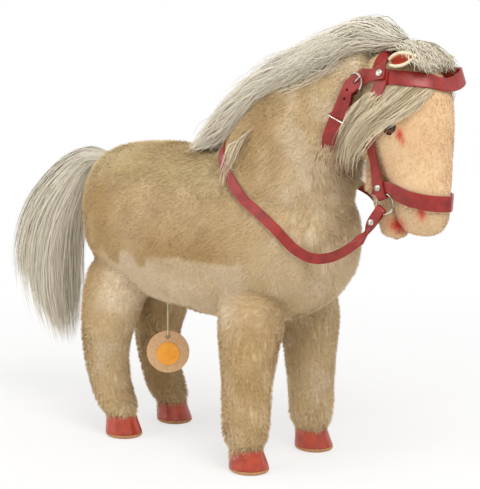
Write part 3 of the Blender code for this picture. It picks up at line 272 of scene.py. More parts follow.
def scatterOn(piece, perSquareMillimetre, random):
    # random places on the surface, even by area, with the smooth normal at each
    points, normals, corners = surfaceArrays(piece)
    a, b, c = (points[corners[:, i]] for i in range(3))
    area = np.linalg.norm(np.cross(b - a, c - a), axis=1) / 2
    count = int(area.sum() * 1e6 * perSquareMillimetre)
    chosen = np.searchsorted(np.cumsum(area), random.random(count) * area.sum()).clip(0, len(area) - 1)
    root = np.sqrt(random.random(count))[:, None]
    across = random.random(count)[:, None]
    shares = (1 - root, root * (1 - across), root * across)
    place = sum(share * points[corners[chosen, i]] for i, share in enumerate(shares))
    normal = sum(share * normals[corners[chosen, i]] for i, share in enumerate(shares))
    return place, unit(normal)


def nearestOn(queries, samples):
    # index of and distance to the nearest sample, in blocks of plain distance tables
    indices, distances = [], []
    square = (samples ** 2).sum(1)
    blockSize = 4000
    for block in np.array_split(queries, max(1, len(queries) // blockSize)):
        table = square[None, :] - 2 * block @ samples.T
        best = table.argmin(1)
        indices.append(best)
        distances.append(np.sqrt(np.maximum(table[np.arange(len(block)), best] + (block ** 2).sum(1), 0)))
    return np.concatenate(indices), np.concatenate(distances)


def cellsOf(points, size):
    # space is cut into cubes of this size, and every cube has three whole numbers
    return np.floor(points / size).astype(np.int64)


def cellKeys(cells):
    # a cube's three numbers as one
    return (cells + (1 << 18)) @ np.array((1 << 40, 1 << 20, 1))


def isNear(queries, samples, gap):
    # a query is near if its cube, as wide as the gap, or one beside it holds a sample
    steps = np.array([(i, j, k) for i in (-1, 0, 1) for j in (-1, 0, 1) for k in (-1, 0, 1)])
    filled = np.unique(cellKeys((cellsOf(samples, gap)[:, None] + steps).reshape(-1, 3)))
    return np.isin(cellKeys(cellsOf(queries, gap)), filled)


def ribbonMesh(name, paths, widths, sideways, attributes, outward=None):
    # a strand is a flat ribbon: a pair of points half a width to each side at every step, one at the tip;
    # with an outward direction, it is lit half as itself and half as a part of the whole lock
    count, levels, _ = paths.shape

    def forPairs(values):
        # what holds for a step holds for both its points
        return np.concatenate([np.repeat(values[:, :-1], 2, axis=1), values[:, -1:]], 1)

    half = sideways * (widths[:, :, None] / 2)
    pairs = np.stack([paths - half, paths + half], 2)[:, :-1].reshape(count, -1, 3)
    points = np.concatenate([pairs, paths[:, -1:]], 1)
    steps = 2 * np.arange(levels - 1)[:, None, None]
    pattern = (steps + np.array([(0, 1, 3), (0, 3, 2)])).reshape(-1, 3)[:-1]
    pattern[-1, 2] -= 1
    triangles = np.arange(count)[:, None, None] * points.shape[1] + pattern
    piece = meshFromArrays(name, points.reshape(-1, 3), triangles.reshape(-1, 3))
    for key, values in attributes.items():
        setAttribute(piece, key, forPairs(np.broadcast_to(values, (count, levels))))
    if outward is not None:
        lit = unit(outward[:, None] + unit(np.cross(sideways, unit(np.gradient(paths, axis=1)))))
        piece.data.normals_split_custom_set_from_vertices(forPairs(lit).reshape(-1, 3))
    return piece


def pullTogether(paths, cell, strength, seed):
    # strands whose roots share a wandering cube lean towards the middle strand of it, most at the tips
    roots = paths[:, 0]
    warp = np.stack([cloudNoise(roots, cell * 2.5, seed + i) for i in range(3)], 1) * cell * 2
    _, group = np.unique(cellKeys(cellsOf(roots + warp, cell)), return_inverse=True)
    size = np.bincount(group)
    middle = np.zeros((len(size),) + paths.shape[1:])
    np.add.at(middle, group, paths)
    middle /= size[:, None, None]
    along = np.linspace(0, 1, paths.shape[1])[None, :, None]
    return paths + strength * along ** 1.3 * (middle[group] - paths)


# Camera, at the photograph's angle

view = {"place": (0.59834, -0.66803, 0.25257), "turn": 40.45, "dip": 7.11, "focalPixels": 1300,
        "tallPixels": 489, "sensor": 36}

camera = newObject("camera", bpy.data.cameras.new("camera"))
camera.location = view["place"]
camera.rotation_euler = (math.radians(90 - view["dip"]), 0, math.radians(view["turn"]))
camera.data.sensor_fit = "VERTICAL"
camera.data.sensor_height = view["sensor"]
camera.data.lens = view["focalPixels"] * view["sensor"] / view["tallPixels"]
camera.data.clip_start = 0.05
bpy.context.scene.camera = camera


# Tag thread: twisted cotton, a loop through the card that goes back up into the belly

thread = {"diameter": 0.0009, "top": (-0.0318, -0.008, 0.0986), "low": 0.07396, "halfGap": 0.00115,
          "bow": 0.6, "dip": 0.8, "facing": (0.6428, -0.7660, 0.0), "points": 14, "sides": 10,
          "plies": 3, "ridge": 0.12, "pitch": 0.0018, "light": "#DDD3B4", "dark": "#A89B78"}


def threadRoute():
    # down one side, half an ellipse through the hole of the card, and up the other side
    facing, top = np.array(thread["facing"]), np.array(thread["top"])

    def below(heights):
        return np.stack([np.full_like(heights, top[0]), np.full_like(heights, top[1]), heights], 1)

    rise = np.linspace(0, 1, thread["points"])
    side = thread["halfGap"] * (1 + thread["bow"] * np.sin(np.pi * rise))
    middle = below(blend(top[2], thread["low"], rise))
    down = middle - facing * side[:, None]
    up = (middle + facing * side[:, None])[::-1]
    bend = np.linspace(0, np.pi, 9)[1:-1]
    under = below(thread["low"] - thread["halfGap"] * thread["dip"] * np.sin(bend))
    under = under - facing * (thread["halfGap"] * np.cos(bend))[:, None]
    return np.concatenate([down, under, up])


def twistedTube(name, route, settings):
    # a round tube along the route, whose skin rises in a helix over each ply of the twist
    sides = settings["sides"]
    ahead = unit(np.gradient(route, axis=0))
    across = unit(np.cross(ahead, np.cross(np.array(settings["facing"]), (0, 0, 1))))
    upward = unit(np.cross(ahead, across))
    run = np.concatenate([[0], np.cumsum(np.linalg.norm(np.diff(route, axis=0), axis=1))])
    angle = np.linspace(0, 2 * np.pi, sides, endpoint=False)
    helix = np.cos(settings["plies"] * angle[None, :] + run[:, None] * (2 * np.pi / settings["pitch"]))
    lift = settings["diameter"] / 2 * (1 + settings["ridge"] * helix)
    rings = route[:, None] + across[:, None] * (np.cos(angle) * lift)[:, :, None]
    rings = rings + upward[:, None] * (np.sin(angle) * lift)[:, :, None]
    points = np.concatenate([rings.reshape(-1, 3), route[:1], route[-1:]])
    here = np.arange(sides)
    after = (here + 1) % sides
    last, start = (len(route) - 1) * sides, len(points) - 2
    caps = [(start, a, b) for a, b in zip(after, here)]
    caps += [(start + 1, last + a, last + b) for a, b in zip(here, after)]

    def addCaps(shell):
        shell.verts.ensure_lookup_table()
        for corners in caps:
            shell.faces.new([shell.verts[int(i)] for i in corners])
        faceOutward(shell)

    piece = meshFromArrays(name, points, gridQuads(len(route), sides)[:, [0, 3, 2, 1]])
    editMesh(piece, addCaps)
    return piece


# Pile, hair and cloth materials

# paintedRootShade and paintedTipLight scale a fibre's colour from root to tip: painted shade deep in the
# pile, painted light at the tips
coat = {"creamy": "#E2CFB0", "middle": "#D5BB8E", "tan": "#C0A06A", "paintedSkyTint": "#D2C499",
        "paintedRootShade": 0.9, "paintedTipLight": 1.05}
face = {"cream": "#E9CBA0", "warm": "#DFB88A", "muzzle": "#D3BC96", "blush": "#CC4227"}
hair = {"pale": "#E6DFCF", "middle": "#D5CBB5", "shade": "#BBAF92"}
foreHair = {"pale": "#EADDC2", "middle": "#D5C19C", "shade": "#9C8763"}


def pileMaterial(name, stops, roughness, tintColour=None):
    # mohair pile, woven and then cut: matt, with a pale sheen where the fibres turn away from the eye; each
    # fibre is painted darker towards its root and a little lighter at its tip, as painted shade and painted
    # light in the pile
    material, shader = newMaterial(name, {
        "Roughness": roughness, "Specular IOR Level": 0.25, "Sheen Weight": 0.25, "Sheen Roughness": 0.6})
    fields = {name: addNode(material, "Attribute", {"attribute_name": name}).outputs["Fac"]
              for name in ("tone", "rise") + (("blush",) if tintColour else ())}
    ramp = addNode(material, "ValToRGB", {"stops": stops}, {"Fac": fields["tone"]})
    # painted shade at each fibre's root, rising to painted light at its tip
    shade = addNode(material, "MapRange", inputs={
        "Value": fields["rise"], "To Min": coat["paintedRootShade"], "To Max": coat["paintedTipLight"]})
    colour = addNode(material, "VectorMath", {"operation": "SCALE"}, {
        0: ramp.outputs["Color"], "Scale": shade.outputs["Result"]}).outputs["Vector"]
    # the tint is the face's airbrushed blush, and on the body the painted reflection of the sky on its top
    if tintColour:
        mix = addNode(material, "Mix", {"data_type": "RGBA"}, {
            "Factor": fields["blush"], 6: colour, 7: linearColour(tintColour)})
        colour = mix.outputs[2]
    feed(material, shader, "Base Color", colour)
    return material


# the body pile's tint is a painted reflection of the sky on its upward faces
mohairPile = pileMaterial("mohairPileWovenCut", [
    (0.0, coat["creamy"]), (0.5, coat["middle"]), (1.0, coat["tan"])], 0.85, coat["paintedSkyTint"])
facePlush = pileMaterial("shortMohairPlushAirbrushed", [
    (0.0, face["cream"]), (0.5, face["warm"]), (0.75, face["muzzle"]), (1.0, coat["middle"])],
    0.85, face["blush"])
longHair, sweptHair = (pileMaterial(name, [
    (0.0, shades["pale"]), (0.5, shades["middle"]), (1.0, shades["shade"])], 0.6) for name, shades in (
        ("longMohairHairCombed", hair), ("longMohairHairOverFace", foreHair)))


# Body skin: torso, neck and legs sewn as one

bodyNodes = ["torso", "neck", "leg_front_left", "leg_front_right", "leg_rear_left", "leg_rear_right"]
bodySkin = sewnSkin("body_skin", bodyNodes, {"grow": 0.00035, "voxel": 0.002, "relax": 5})
faceSkin = sewnSkin("face_skin", ["head"], {"grow": 0.0, "voxel": 0.0015, "relax": 3})
chinSkin = sewnSkin("chin_skin", ["lower_jaw"], {"grow": 0.0018, "voxel": 0.0012, "relax": 36})

# the tip of the chin is full and round: it widens on the way down
chinTip = {"high": 0.009, "longer": 0.55, "wider": 0.35, "raised": 0.0012}
chin = surfaceArrays(chinSkin)[0]
tipShare = 1 - smoothStep(chin[:, 2], chin[:, 2].min(), chin[:, 2].min() + chinTip["high"])
chinMiddle = chin[tipShare > 0.3].mean(0)
chin[:, 0] = chinMiddle[0] + (chin[:, 0] - chinMiddle[0]) * (1 + chinTip["longer"] * tipShare)
chin[:, 1] = chin[:, 1] * (1 + chinTip["wider"] * tipShare)
chin[:, 2] += chinTip["raised"] * tipShare ** 2
chinSkin.data.vertices.foreach_set("co", chin.astype(np.float32).ravel())
chinSkin.data.update()


def onLegs(points):
    # 1 on the legs and 0 on the trunk, neck and head
    return 1 - smoothStep(points[:, 2], 0.090, 0.112)


def bodyTone(points):
    # tan on rump and flanks, paler at the neck, cream under the belly, with torn pale patches in the nap
    x, y, z = points.T
    tone = 0.58 + 0.60 * (cloudNoise(points, 0.034, 1) - 0.5) + 0.25 * (cloudNoise(points, 0.012, 2) - 0.5)
    neck = smoothStep(x, 0.075, 0.095) * smoothStep(z, 0.10, 0.13)
    rump = 1 - smoothStep(x, -0.09, -0.05)
    edge = 0.137 + 0.026 * (cloudNoise(points, 0.013, 3) - 0.5)
    trunk = smoothStep(x, -0.085, -0.060) * (1 - smoothStep(x, 0.055, 0.080)) * smoothStep(z, 0.085, 0.100)
    belly = (1 - smoothStep(z, edge - 0.002, edge + 0.002)) * trunk
    torn = smoothStep(cloudNoise(points * (1, 1, 0.65), 0.0085, 4), 0.58, 0.70) * (1 - 0.75 * trunk)
    tone = tone - 0.28 * neck + 0.18 * rump + 0.20 * trunk * (1 - belly) - 0.55 * belly - 0.26 * torn
    return np.clip(tone, 0, 1)


def paintedSkyTintShare(points, normals):
    # painted sky light: a greenish reflection painted on the upward faces along the top of the back and the
    # crest
    share = smoothStep(normals[:, 2], 0.15, 0.85) * smoothStep(points[:, 2], 0.165, 0.195)
    return np.clip(share * (0.20 + 0.6 * cloudNoise(points, 0.03, 26)), 0, 0.7)


def onJowl(points):
    # the back edge of the cheek, behind the cheek strap
    x, y, z = points.T
    return (1 - smoothStep(x, 0.148, 0.157)) * smoothStep(z, 0.183, 0.192) * (1 - smoothStep(z, 0.232, 0.244))


def faceTone(points):
    # cream and warm in soft clouds, greyer on the muzzle, the muzzle's grey painted on the skin under the
    # swept hair as the hair's shade, and the coat's own colour behind the crown strap
    x, y, z = points.T
    muzzle, ownCoat = 0.75, 1.0
    tone = 0.25 + 0.45 * (cloudNoise(points, 0.018, 5) - 0.5) + 0.15 * (cloudNoise(points, 0.006, 6) - 0.5)
    tone = blend(tone, muzzle, 0.8 * (1 - smoothStep(z, 0.182, 0.190)))
    aboveSweep = (z - 0.220) - 0.85 * (x - 0.155)
    # painted shade of the swept hair: the skin under it takes the muzzle's greyer tone, which also makes the
    # thin strands look thicker
    paintedShadeUnderHair = smoothStep(aboveSweep, -0.002, 0.005) * smoothStep(np.abs(y), 0.006, 0.014)
    tone = blend(tone, muzzle, 0.9 * paintedShadeUnderHair * (1 - smoothStep(z, 0.250, 0.256)))
    tone = blend(tone, ownCoat, np.maximum(1 - smoothStep(x, 0.142, 0.154), smoothStep(z, 0.258, 0.264)))
    return np.clip(tone - 0.40 * onJowl(points), 0, 1)


# Airbrushed spots: centre, reach and strength; each is there on both sides of the face
airbrush = {
    "eyeCorner": ((0.1703, 0.0205, 0.2222), (0.0022, 0.0060, 0.0034), 1.0),
    "eyeDrip": ((0.1718, 0.0197, 0.2186), (0.0017, 0.0060, 0.0024), 0.7),
    "nostril": ((0.1812, 0.0124, 0.1757), (0.0026, 0.0060, 0.0046), 0.85),
    "upperLip": ((0.1655, 0.0095, 0.1680), (0.0030, 0.0090, 0.0040), 0.7),
    "lowerLip": ((0.1612, 0.0060, 0.1665), (0.0056, 0.0110, 0.0046), 1.0),
}


def blushOn(points):
    # the strongest of the soft spots, each falling off with the square of its scaled distance
    total = np.zeros(len(points))
    onOneSide = np.stack([points[:, 0], np.abs(points[:, 1]), points[:, 2]], 1)
    for centre, reach, strength in airbrush.values():
        total = np.maximum(total, strength * np.exp(-(((onOneSide - centre) / reach) ** 2).sum(1)))
    return np.clip(total * 1.15, 0, 1)


for piece, material, replaced in (
        (bodySkin, mohairPile, bodyNodes), (faceSkin, facePlush, ["head"]),
        (chinSkin, facePlush, ["lower_jaw"])):
    points, normals, _ = surfaceArrays(piece)
    isBody = piece is bodySkin
    setAttribute(piece, "tone", bodyTone(points) if isBody else faceTone(points))
    # the skins under the pile take the painted shade of the pile's roots
    setAttribute(piece, "rise", np.full(len(points), 0.3))
    # on the body the tint is the painted sky reflection on its top; on the face and chin it is the airbrushed
    # blush
    setAttribute(piece, "blush", paintedSkyTintShare(points, normals) if isBody else blushOn(points))
    piece.data.materials.append(material)
    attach(piece, "horse")
    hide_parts(*replaced)
print("skins sewn", len(bodySkin.data.polygons), len(faceSkin.data.polygons))


# Samples of what the pile keeps clear of

def samplesOf(names, perSquareMillimetre, seed):
    random = np.random.default_rng(seed)
    return np.concatenate([scatterOn(nodes[name], perSquareMillimetre, random)[0] for name in names])


leatherNames = ["browband", "cheek_strap_left", "cheek_strap_right", "noseband", "throat_strap",
                "crown_strap", "reins"]
metalNames = [n for n in nodes if n.startswith(("ring_", "rivet_", "buckle_", "keeper_"))]
hardwareSamples = samplesOf(leatherNames + metalNames, 2.0, 21)
# the throat strap sinks into the pile under the jaw, where the pile closes over it
sunk = {"front": 0.130, "low": 0.190, "high": 0.216}
x, _, z = hardwareSamples.T
hardwareSamples = hardwareSamples[~((x < sunk["front"]) & (z < sunk["high"]) & (z > sunk["low"]))]
# the pile stays clear of the keeper all along its slide
keeperSlide = {"axis": (-0.5162, 0.0617, -0.8542), "steps": (-0.002, 0.0015, 0.003)}
keeperSamples = samplesOf(["keeper_loop"], 3.0, 22)
hardwareSamples = np.concatenate([hardwareSamples] + [
    keeperSamples + np.array(keeperSlide["axis"]) * step for step in keeperSlide["steps"]])
eyeSamples = samplesOf(["eye_left", "eye_right"], 3.0, 23)


# Pile of the body and legs

pile = {"density": 2.5, "width": 0.00036, "levels": 3, "lean": 40, "leanSpread": 16, "clump": 0.0036,
        "clumpBody": 0.20, "clumpLeg": 0.50, "back": 0.0035, "belly": 0.0027, "leg": 0.0035, "fringe": 0.0046,
        "throat": 0.0090, "clear": 0.0009, "floor": 0.0045, "seed": 31}
blade = {"jitter": 0.30, "rootLean": 0.6, "tipLean": 1.15, "sink": 0.0004, "cutTo": 0.45, "taper": 0.75,
         "twist": 0.7}


def pileLength(points):
    # shortest under the belly, longer over the hooves, longest at the throat
    x, y, z = points.T
    trunk = smoothStep(z, 0.085, 0.105)
    belly = (1 - smoothStep(z, 0.118, 0.140)) * trunk
    belly = belly * smoothStep(x, -0.085, -0.05) * (1 - smoothStep(x, 0.05, 0.08))
    throat = smoothStep(x, 0.104, 0.110) * smoothStep(z, 0.186, 0.194) * (1 - smoothStep(z, 0.214, 0.222))
    length = blend(pile["leg"], pile["back"], trunk)
    for place, share in (("belly", belly), ("fringe", 1 - smoothStep(z, 0.022, 0.038)), ("throat", throat)):
        length = blend(length, pile[place], share)
    return length * (0.75 + 0.5 * cloudNoise(points, 0.012, 7))


def pileFlow(points):
    # the pile lies down and back, straight down on the legs, and wanders a little
    x, y, z = points.T
    trunk = smoothStep(z, 0.085, 0.115)
    flow = np.stack([-0.55 * trunk, 0.15 * np.sign(y), -0.9 + 0 * z], 1)
    wander = np.stack([cloudNoise(points, 0.014, seed) - 0.5 for seed in (8, 9, 10)], 1)
    return flow + 1.6 * wander


def growPile(roots, normals, lengths, flow, settings, random):
    # a blade leaves the skin leaning along the flow, and bends down further towards its tip
    count = len(roots)
    tangent = unit(flow - normals * (flow * normals).sum(1, keepdims=True))
    lean = np.radians(settings["lean"] + settings["leanSpread"] * random.standard_normal(count))[:, None]
    jitter = unit(random.standard_normal((count, 3))) * blade["jitter"]
    along = np.linspace(0, 1, settings["levels"])[None, :, None]
    first, later = (unit(normals * np.cos(lean * share) + tangent * np.sin(lean * share) + jitter)[:, None]
                    for share in (blade["rootLean"], blade["tipLean"]))
    paths = roots[:, None] + lengths[:, None, None] * along * (first * (1 - along) + later * along)
    return paths - normals[:, None] * blade["sink"]


def keepClear(paths, samples, gap):
    # blades rooted under a strap are left out, and blades that reach one are cut short
    short = isNear(paths[:, -1], samples, gap) | isNear(paths[:, paths.shape[1] // 2], samples, gap)
    shortened = paths[:, :1] + blade["cutTo"] * (paths - paths[:, :1])
    paths = np.where(short[:, None, None], shortened, paths)
    return paths, ~isNear(paths[:, 0], samples, gap)


def ribbonSides(paths, facing, twist, random):
    # ribbons lie flat to the facing direction, turned about their own line by a random twist
    ahead = unit(np.gradient(paths, axis=1))
    flat = unit(np.cross(ahead, facing[:, None]))
    upright = unit(np.cross(flat, ahead))
    turn = (twist * (2 * random.random(len(paths)) - 1))[:, None, None]
    return flat * np.cos(turn) + upright * np.sin(turn)


def bladeWidths(count, settings, random):
    # full at the root and tapering to the tip
    taper = 1 - blade["taper"] * np.linspace(0, 1, settings["levels"])[None, :] ** 1.5
    return settings["width"] * taper * (0.7 + 0.6 * random.random(count))[:, None]


random = np.random.default_rng(pile["seed"])
roots, normals = scatterOn(bodySkin, pile["density"], random)
paths = growPile(roots, normals, pileLength(roots), pileFlow(roots), pile, random)
pull = blend(pile["clumpBody"], pile["clumpLeg"], onLegs(roots))
paths = pullTogether(paths, pile["clump"], pull[:, None, None], 12)
paths, kept = keepClear(paths, hardwareSamples, pile["clear"])
kept &= paths[:, -1, 2] > pile["floor"]
paths, roots, normals = paths[kept], roots[kept], normals[kept]
tone = np.clip(bodyTone(roots) + 0.10 * random.standard_normal(len(roots)), 0, 1)
# painted reflection of the sky on the top of the back and the crest
paintedSkyTint = paintedSkyTintShare(roots, normals)
sides = ribbonSides(paths, normals, blade["twist"], random)
widths = bladeWidths(len(roots), pile, random)
x, y, z = roots.T
border = {"legs": 0.098, "rump": -0.075, "loin": -0.02, "barrel": 0.055, "neck": 0.165}
above = z >= border["legs"]
regions = {f"pile_leg_{end}_{side}": ~above & atEnd & onSide
           for end, atEnd in (("front", x > 0), ("rear", x <= 0))
           for side, onSide in (("left", y > 0), ("right", y <= 0))}
regions["pile_rump"] = above & (x <= border["rump"])
regions["pile_loin"] = above & (x > border["rump"]) & (x <= border["loin"])
regions["pile_barrel"] = above & (x > border["loin"]) & (x <= border["barrel"])
regions["pile_breast"] = above & (z < border["neck"]) & (x > border["barrel"])
regions["pile_neck"] = (z >= border["neck"]) & (x > border["barrel"])
for name, inside in regions.items():
    # each blade carries the painted sky reflection of its root
    # rise darkens each blade towards its root: painted shade in the pile
    piece = ribbonMesh(name, paths[inside], widths[inside], sides[inside], {
        "tone": tone[inside][:, None], "rise": np.linspace(0, 1, pile["levels"]),
        "blush": paintedSkyTint[inside][:, None]})
    piece.data.materials.append(mohairPile)
    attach(piece, "horse")
    print(name, len(piece.data.polygons))


# Short plush of the face and chin

plush = {"density": 2.2, "width": 0.00034, "levels": 4, "lean": 50, "leanSpread": 14, "clump": 0.0022,
         "clumpPull": 0.35, "length": 0.0019, "jowl": 0.0085, "clear": 0.0008, "eyeClear": 0.0007, "seed": 41}


def plushLength(points):
    # the muzzle is shaved, and the pile stands long and loose at the jowl
    length = plush["length"] * (0.8 + 0.4 * cloudNoise(points, 0.006, 13))
    return blend(length, plush["jowl"], onJowl(points))


for skinPiece, name in ((faceSkin, "plush_face"), (chinSkin, "plush_chin")):
    random = np.random.default_rng(plush["seed"])
    roots, normals = scatterOn(skinPiece, plush["density"], random)
    wander = np.stack([cloudNoise(roots, 0.010, seed) - 0.5 for seed in (14, 15, 16)], 1)
    jowl = onJowl(roots)[:, None]
    flow = np.array((0.1, 0, -1.0)) * (1 - jowl) + np.array((-1.0, 0, -0.9)) * jowl + wander
    paths = growPile(roots, normals, plushLength(roots), flow, plush, random)
    paths = pullTogether(paths, plush["clump"], plush["clumpPull"], 17)
    paths, kept = keepClear(paths, hardwareSamples, plush["clear"])
    kept &= ~isNear(paths[:, 0], eyeSamples, plush["eyeClear"])
    paths, roots, normals = paths[kept], roots[kept], normals[kept]
    random = np.random.default_rng(plush["seed"] + 1)
    tone = np.clip(faceTone(roots) + 0.2 * random.standard_normal(len(roots)), 0, 1)
    widths = bladeWidths(len(roots), plush, random)
    # rise darkens each blade towards its root: painted shade in the plush
    piece = ribbonMesh(name, paths, widths, ribbonSides(paths, normals, blade["twist"], random), {
        "tone": tone[:, None], "blush": blushOn(roots)[:, None],
        "rise": np.linspace(0.2, 1, plush["levels"])})
    piece.data.materials.append(facePlush)
    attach(piece, "horse")
    print(name, len(piece.data.polygons))


# Long hair: strands run through rings, each ring an oval across the lock

def ringTable(rows, settings, origin, size):
    # rows hold a centre in shares of the size, a lean in degrees, and shares of the thickness and width;
    # centre, outward direction and the two half sizes of each ring come back as arrays
    rows = np.array(rows)
    leans = np.radians(rows[:, 3])
    outward = np.stack([np.cos(leans), np.zeros(len(rows)), -np.sin(leans)], 1)
    deep, broad = rows[:, 4] * settings["thick"] / 2, rows[:, 5] * settings["wide"] / 2
    return np.array(origin) + rows[:, :3] * size, outward, deep, broad


def sampleRows(values, place):
    # rows are read at a fractional place, smoothly between them and straight on past the last
    last = len(values) - 1
    low = np.clip(np.floor(place).astype(int), 0, last - 1)
    part = place - low
    extended = np.concatenate([[2 * values[0] - values[1]], values, [2 * values[-1] - values[-2]]])
    p0, p1, p2, p3 = (extended[low + i] for i in range(4))
    if values.ndim == 2:
        part = part[..., None]
    inside = 0.5 * (2 * p1 + (p2 - p0) * part + (2 * p0 - 5 * p1 + 4 * p2 - p3) * part ** 2
                    + (3 * p1 - p0 - 3 * p2 + p3) * part ** 3)
    beyond = p2 + (p2 - p1) * (part - 1)
    return np.where(part > 1, beyond, inside)


def onRings(rings, place, angle, least):
    # the centre at a fractional ring, and the way from it to the oval at this angle
    centres, outward, deep, broad = rings
    out = unit(sampleRows(outward, place))
    thin, flat = (np.clip(sampleRows(sizes, place), least, None)[..., None] for sizes in (deep, broad))
    side = np.array((0.0, 1.0, 0.0))
    offset = out * thin * np.cos(angle)[..., None] + side * flat * np.sin(angle)[..., None]
    return sampleRows(centres, place), offset


def wavesAlong(settings, along, count, random, fewest, spread, quickness):
    # a slow wave in each direction, which is nothing at the root and soon full
    waves = np.zeros((count, along.shape[1], 3))
    for axis in range(3):
        phase = 2 * np.pi * random.random(count)[:, None]
        turns = settings["waves"] * (fewest + spread * random.random(count))[:, None]
        waves[..., axis] = np.sin(2 * np.pi * turns * along + phase) * settings["waveSize"]
    return waves * np.minimum(1, quickness * along)[..., None]


def strandsThroughRings(rings, settings, random):
    # a strand keeps its angle and its share of the radius while it runs from one ring to a later one
    count = settings["count"]
    along = np.linspace(0, 1, settings["levels"])[None, :]
    start = blend(*settings["start"], random.random(count) ** settings["startPower"])[:, None]
    travel = blend(*settings["travel"], random.random(count))[:, None]
    angle = 2 * np.pi * random.random(count)[:, None]
    last = blend(*settings["end"], random.random(count)[:, None])
    last = last - settings["shorterOutside"] * smoothStep(np.cos(angle), -0.6, 0.6)
    place = start + np.clip(last - start, 0.3, travel) * along
    angle = angle + np.radians(settings["swing"]) * along * random.standard_normal(count)[:, None]
    share = np.sqrt(blend(settings["inner"], 1, random.random(count)))[:, None]
    share = share * blend(settings["rootShare"], 1, np.minimum(1, along / 0.25))
    share = share * (1 + settings["flyaway"] * random.random(count)[:, None] ** 3 * along)
    centre, offset = onRings(rings, place, angle, 0.002)
    paths = centre + offset * share[..., None]
    return paths + wavesAlong(settings, along, count, random, 0.6, 0.8, 3), unit(offset.mean(1))


def lieOn(paths, points, normals, lift):
    # places closer to the surface than the lift move out along the normal of the nearest sample
    flat = paths.reshape(-1, 3)
    index, _ = nearestOn(flat, points)
    height = ((flat - points[index]) * normals[index]).sum(1)
    lift = np.broadcast_to(lift, paths.shape[:2]).reshape(-1)
    flat = flat + normals[index] * np.maximum(lift - height, 0)[:, None]
    return flat.reshape(paths.shape), unit(normals[index].reshape(paths.shape)[:, paths.shape[1] // 2])


def hairPiece(name, paths, facing, settings, random, material=longHair, asLock=True):
    # strands of one lock, whose shades are the settings' tone and its spread; asLock lights them as one body
    count, levels = paths.shape[:2]
    along = np.linspace(0, 1, levels)[None, :]
    widths = settings["width"] * (1 - 0.6 * along ** 3) * (0.6 + 0.8 * random.random(count))[:, None]
    lock = cloudNoise(paths[:, 0] + paths[:, levels // 2] * 0.5, 0.006, 18) - 0.5
    base, spread = settings["tone"]
    tone = np.clip(base + 0.8 * lock + spread * random.standard_normal(count), 0, 1)
    # rise darkens each strand towards its root: painted shade in the lock
    piece = ribbonMesh(name, paths, widths, ribbonSides(paths, facing, settings["twist"], random), {
        "tone": tone[:, None], "rise": 0.35 + 0.5 * along}, facing if asLock else None)
    piece.data.materials.append(material)
    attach(piece, "horse")
    print(name, len(piece.data.polygons))
    return piece


tail = {"root": (-0.09746, 0.0, 0.198486), "long": 0.175, "thick": 0.048, "wide": 0.048, "count": 7600,
        "levels": 14, "start": (0.0, 1.8), "startPower": 2.0, "travel": (3.4, 6.6), "end": (5.0, 6.8),
        "shorterOutside": 1.9, "swing": 16, "inner": 0.02, "rootShare": 0.8, "flyaway": 0.40, "waves": 1.2,
        "waveSize": 0.0009, "width": 0.00042, "twist": 0.9, "clump": 0.004, "clumpPull": 0.20,
        "tone": (0.35, 0.12), "seed": 51}
# from the root down: forward, aside, up, lean, thickness and width shares
tailRows = [
    (0.000, 0, -0.010, -85, 0.26, 0.28), (-0.114, 0, -0.011, -98, 0.34, 0.38),
    (-0.240, 0, -0.110, -135, 0.68, 0.60), (-0.346, 0, -0.257, -160, 0.95, 0.80),
    (-0.400, 0, -0.440, -177, 1.08, 0.90), (-0.392, 0, -0.630, -192, 1.02, 0.88),
    (-0.340, 0, -0.800, -208, 0.76, 0.68), (-0.290, 0, -0.930, -208, 0.44, 0.44)]
random = np.random.default_rng(tail["seed"])
tailRings = ringTable(tailRows, tail, tail["root"], tail["long"])
paths, facing = strandsThroughRings(tailRings, tail, random)
paths = pullTogether(paths, tail["clump"], tail["clumpPull"], 19)
tailHair = hairPiece("tail_hair", paths, facing, tail, random)
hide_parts("tail")

mane = {"base": (0.1183, 0.0, 0.16626), "long": 0.128, "thick": 0.034, "wide": 0.046, "count": 9000,
        "levels": 12, "start": (-0.2, 6.3), "startPower": 1.0, "travel": (1.6, 3.0), "end": (6.9, 7.4),
        "shorterOutside": 0.0, "swing": 30, "inner": 0.05, "rootShare": 0.6, "flyaway": 0.45, "waves": 1.1,
        "waveSize": 0.0012, "width": 0.0004, "twist": 0.9, "clump": 0.004, "clumpPull": 0.15,
        "tone": (0.30, 0.12), "lift": (0.0016, 0.0050), "crestBehind": -0.03, "crestLow": 0.175, "seed": 61}
# from the poll down to the withers
maneRows = [
    (0.292, 0.00, 0.864, 110, 0.52, 0.60), (0.140, 0.00, 0.879, 92, 0.80, 0.80),
    (-0.043, 0.03, 0.809, 78, 0.92, 0.88), (-0.244, 0.05, 0.728, 60, 0.98, 0.96),
    (-0.436, 0.07, 0.650, 46, 1.02, 1.02), (-0.603, 0.08, 0.549, 34, 1.00, 1.04),
    (-0.749, 0.08, 0.429, 24, 0.86, 1.00), (-0.890, 0.08, 0.328, 14, 0.50, 0.86)]
random = np.random.default_rng(mane["seed"])
maneRings = ringTable(maneRows, mane, mane["base"], (mane["long"], mane["wide"], mane["long"]))
paths, facing = strandsThroughRings(maneRings, mane, random)
paths = pullTogether(paths, mane["clump"], mane["clumpPull"], 24)
crest, crestNormals = scatterOn(bodySkin, 0.25, random)
onCrest = (crest[:, 0] > mane["crestBehind"]) & (crest[:, 2] > mane["crestLow"])
crest, crestNormals = crest[onCrest], crestNormals[onCrest]
lift = blend(*mane["lift"], random.random(mane["count"])[:, None])
paths, _ = lieOn(paths, crest, crestNormals, lift)
maneHair = hairPiece("mane_hair", paths, facing, mane, random)
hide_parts("mane")


# Hair stands round a core, so that no light shows through it

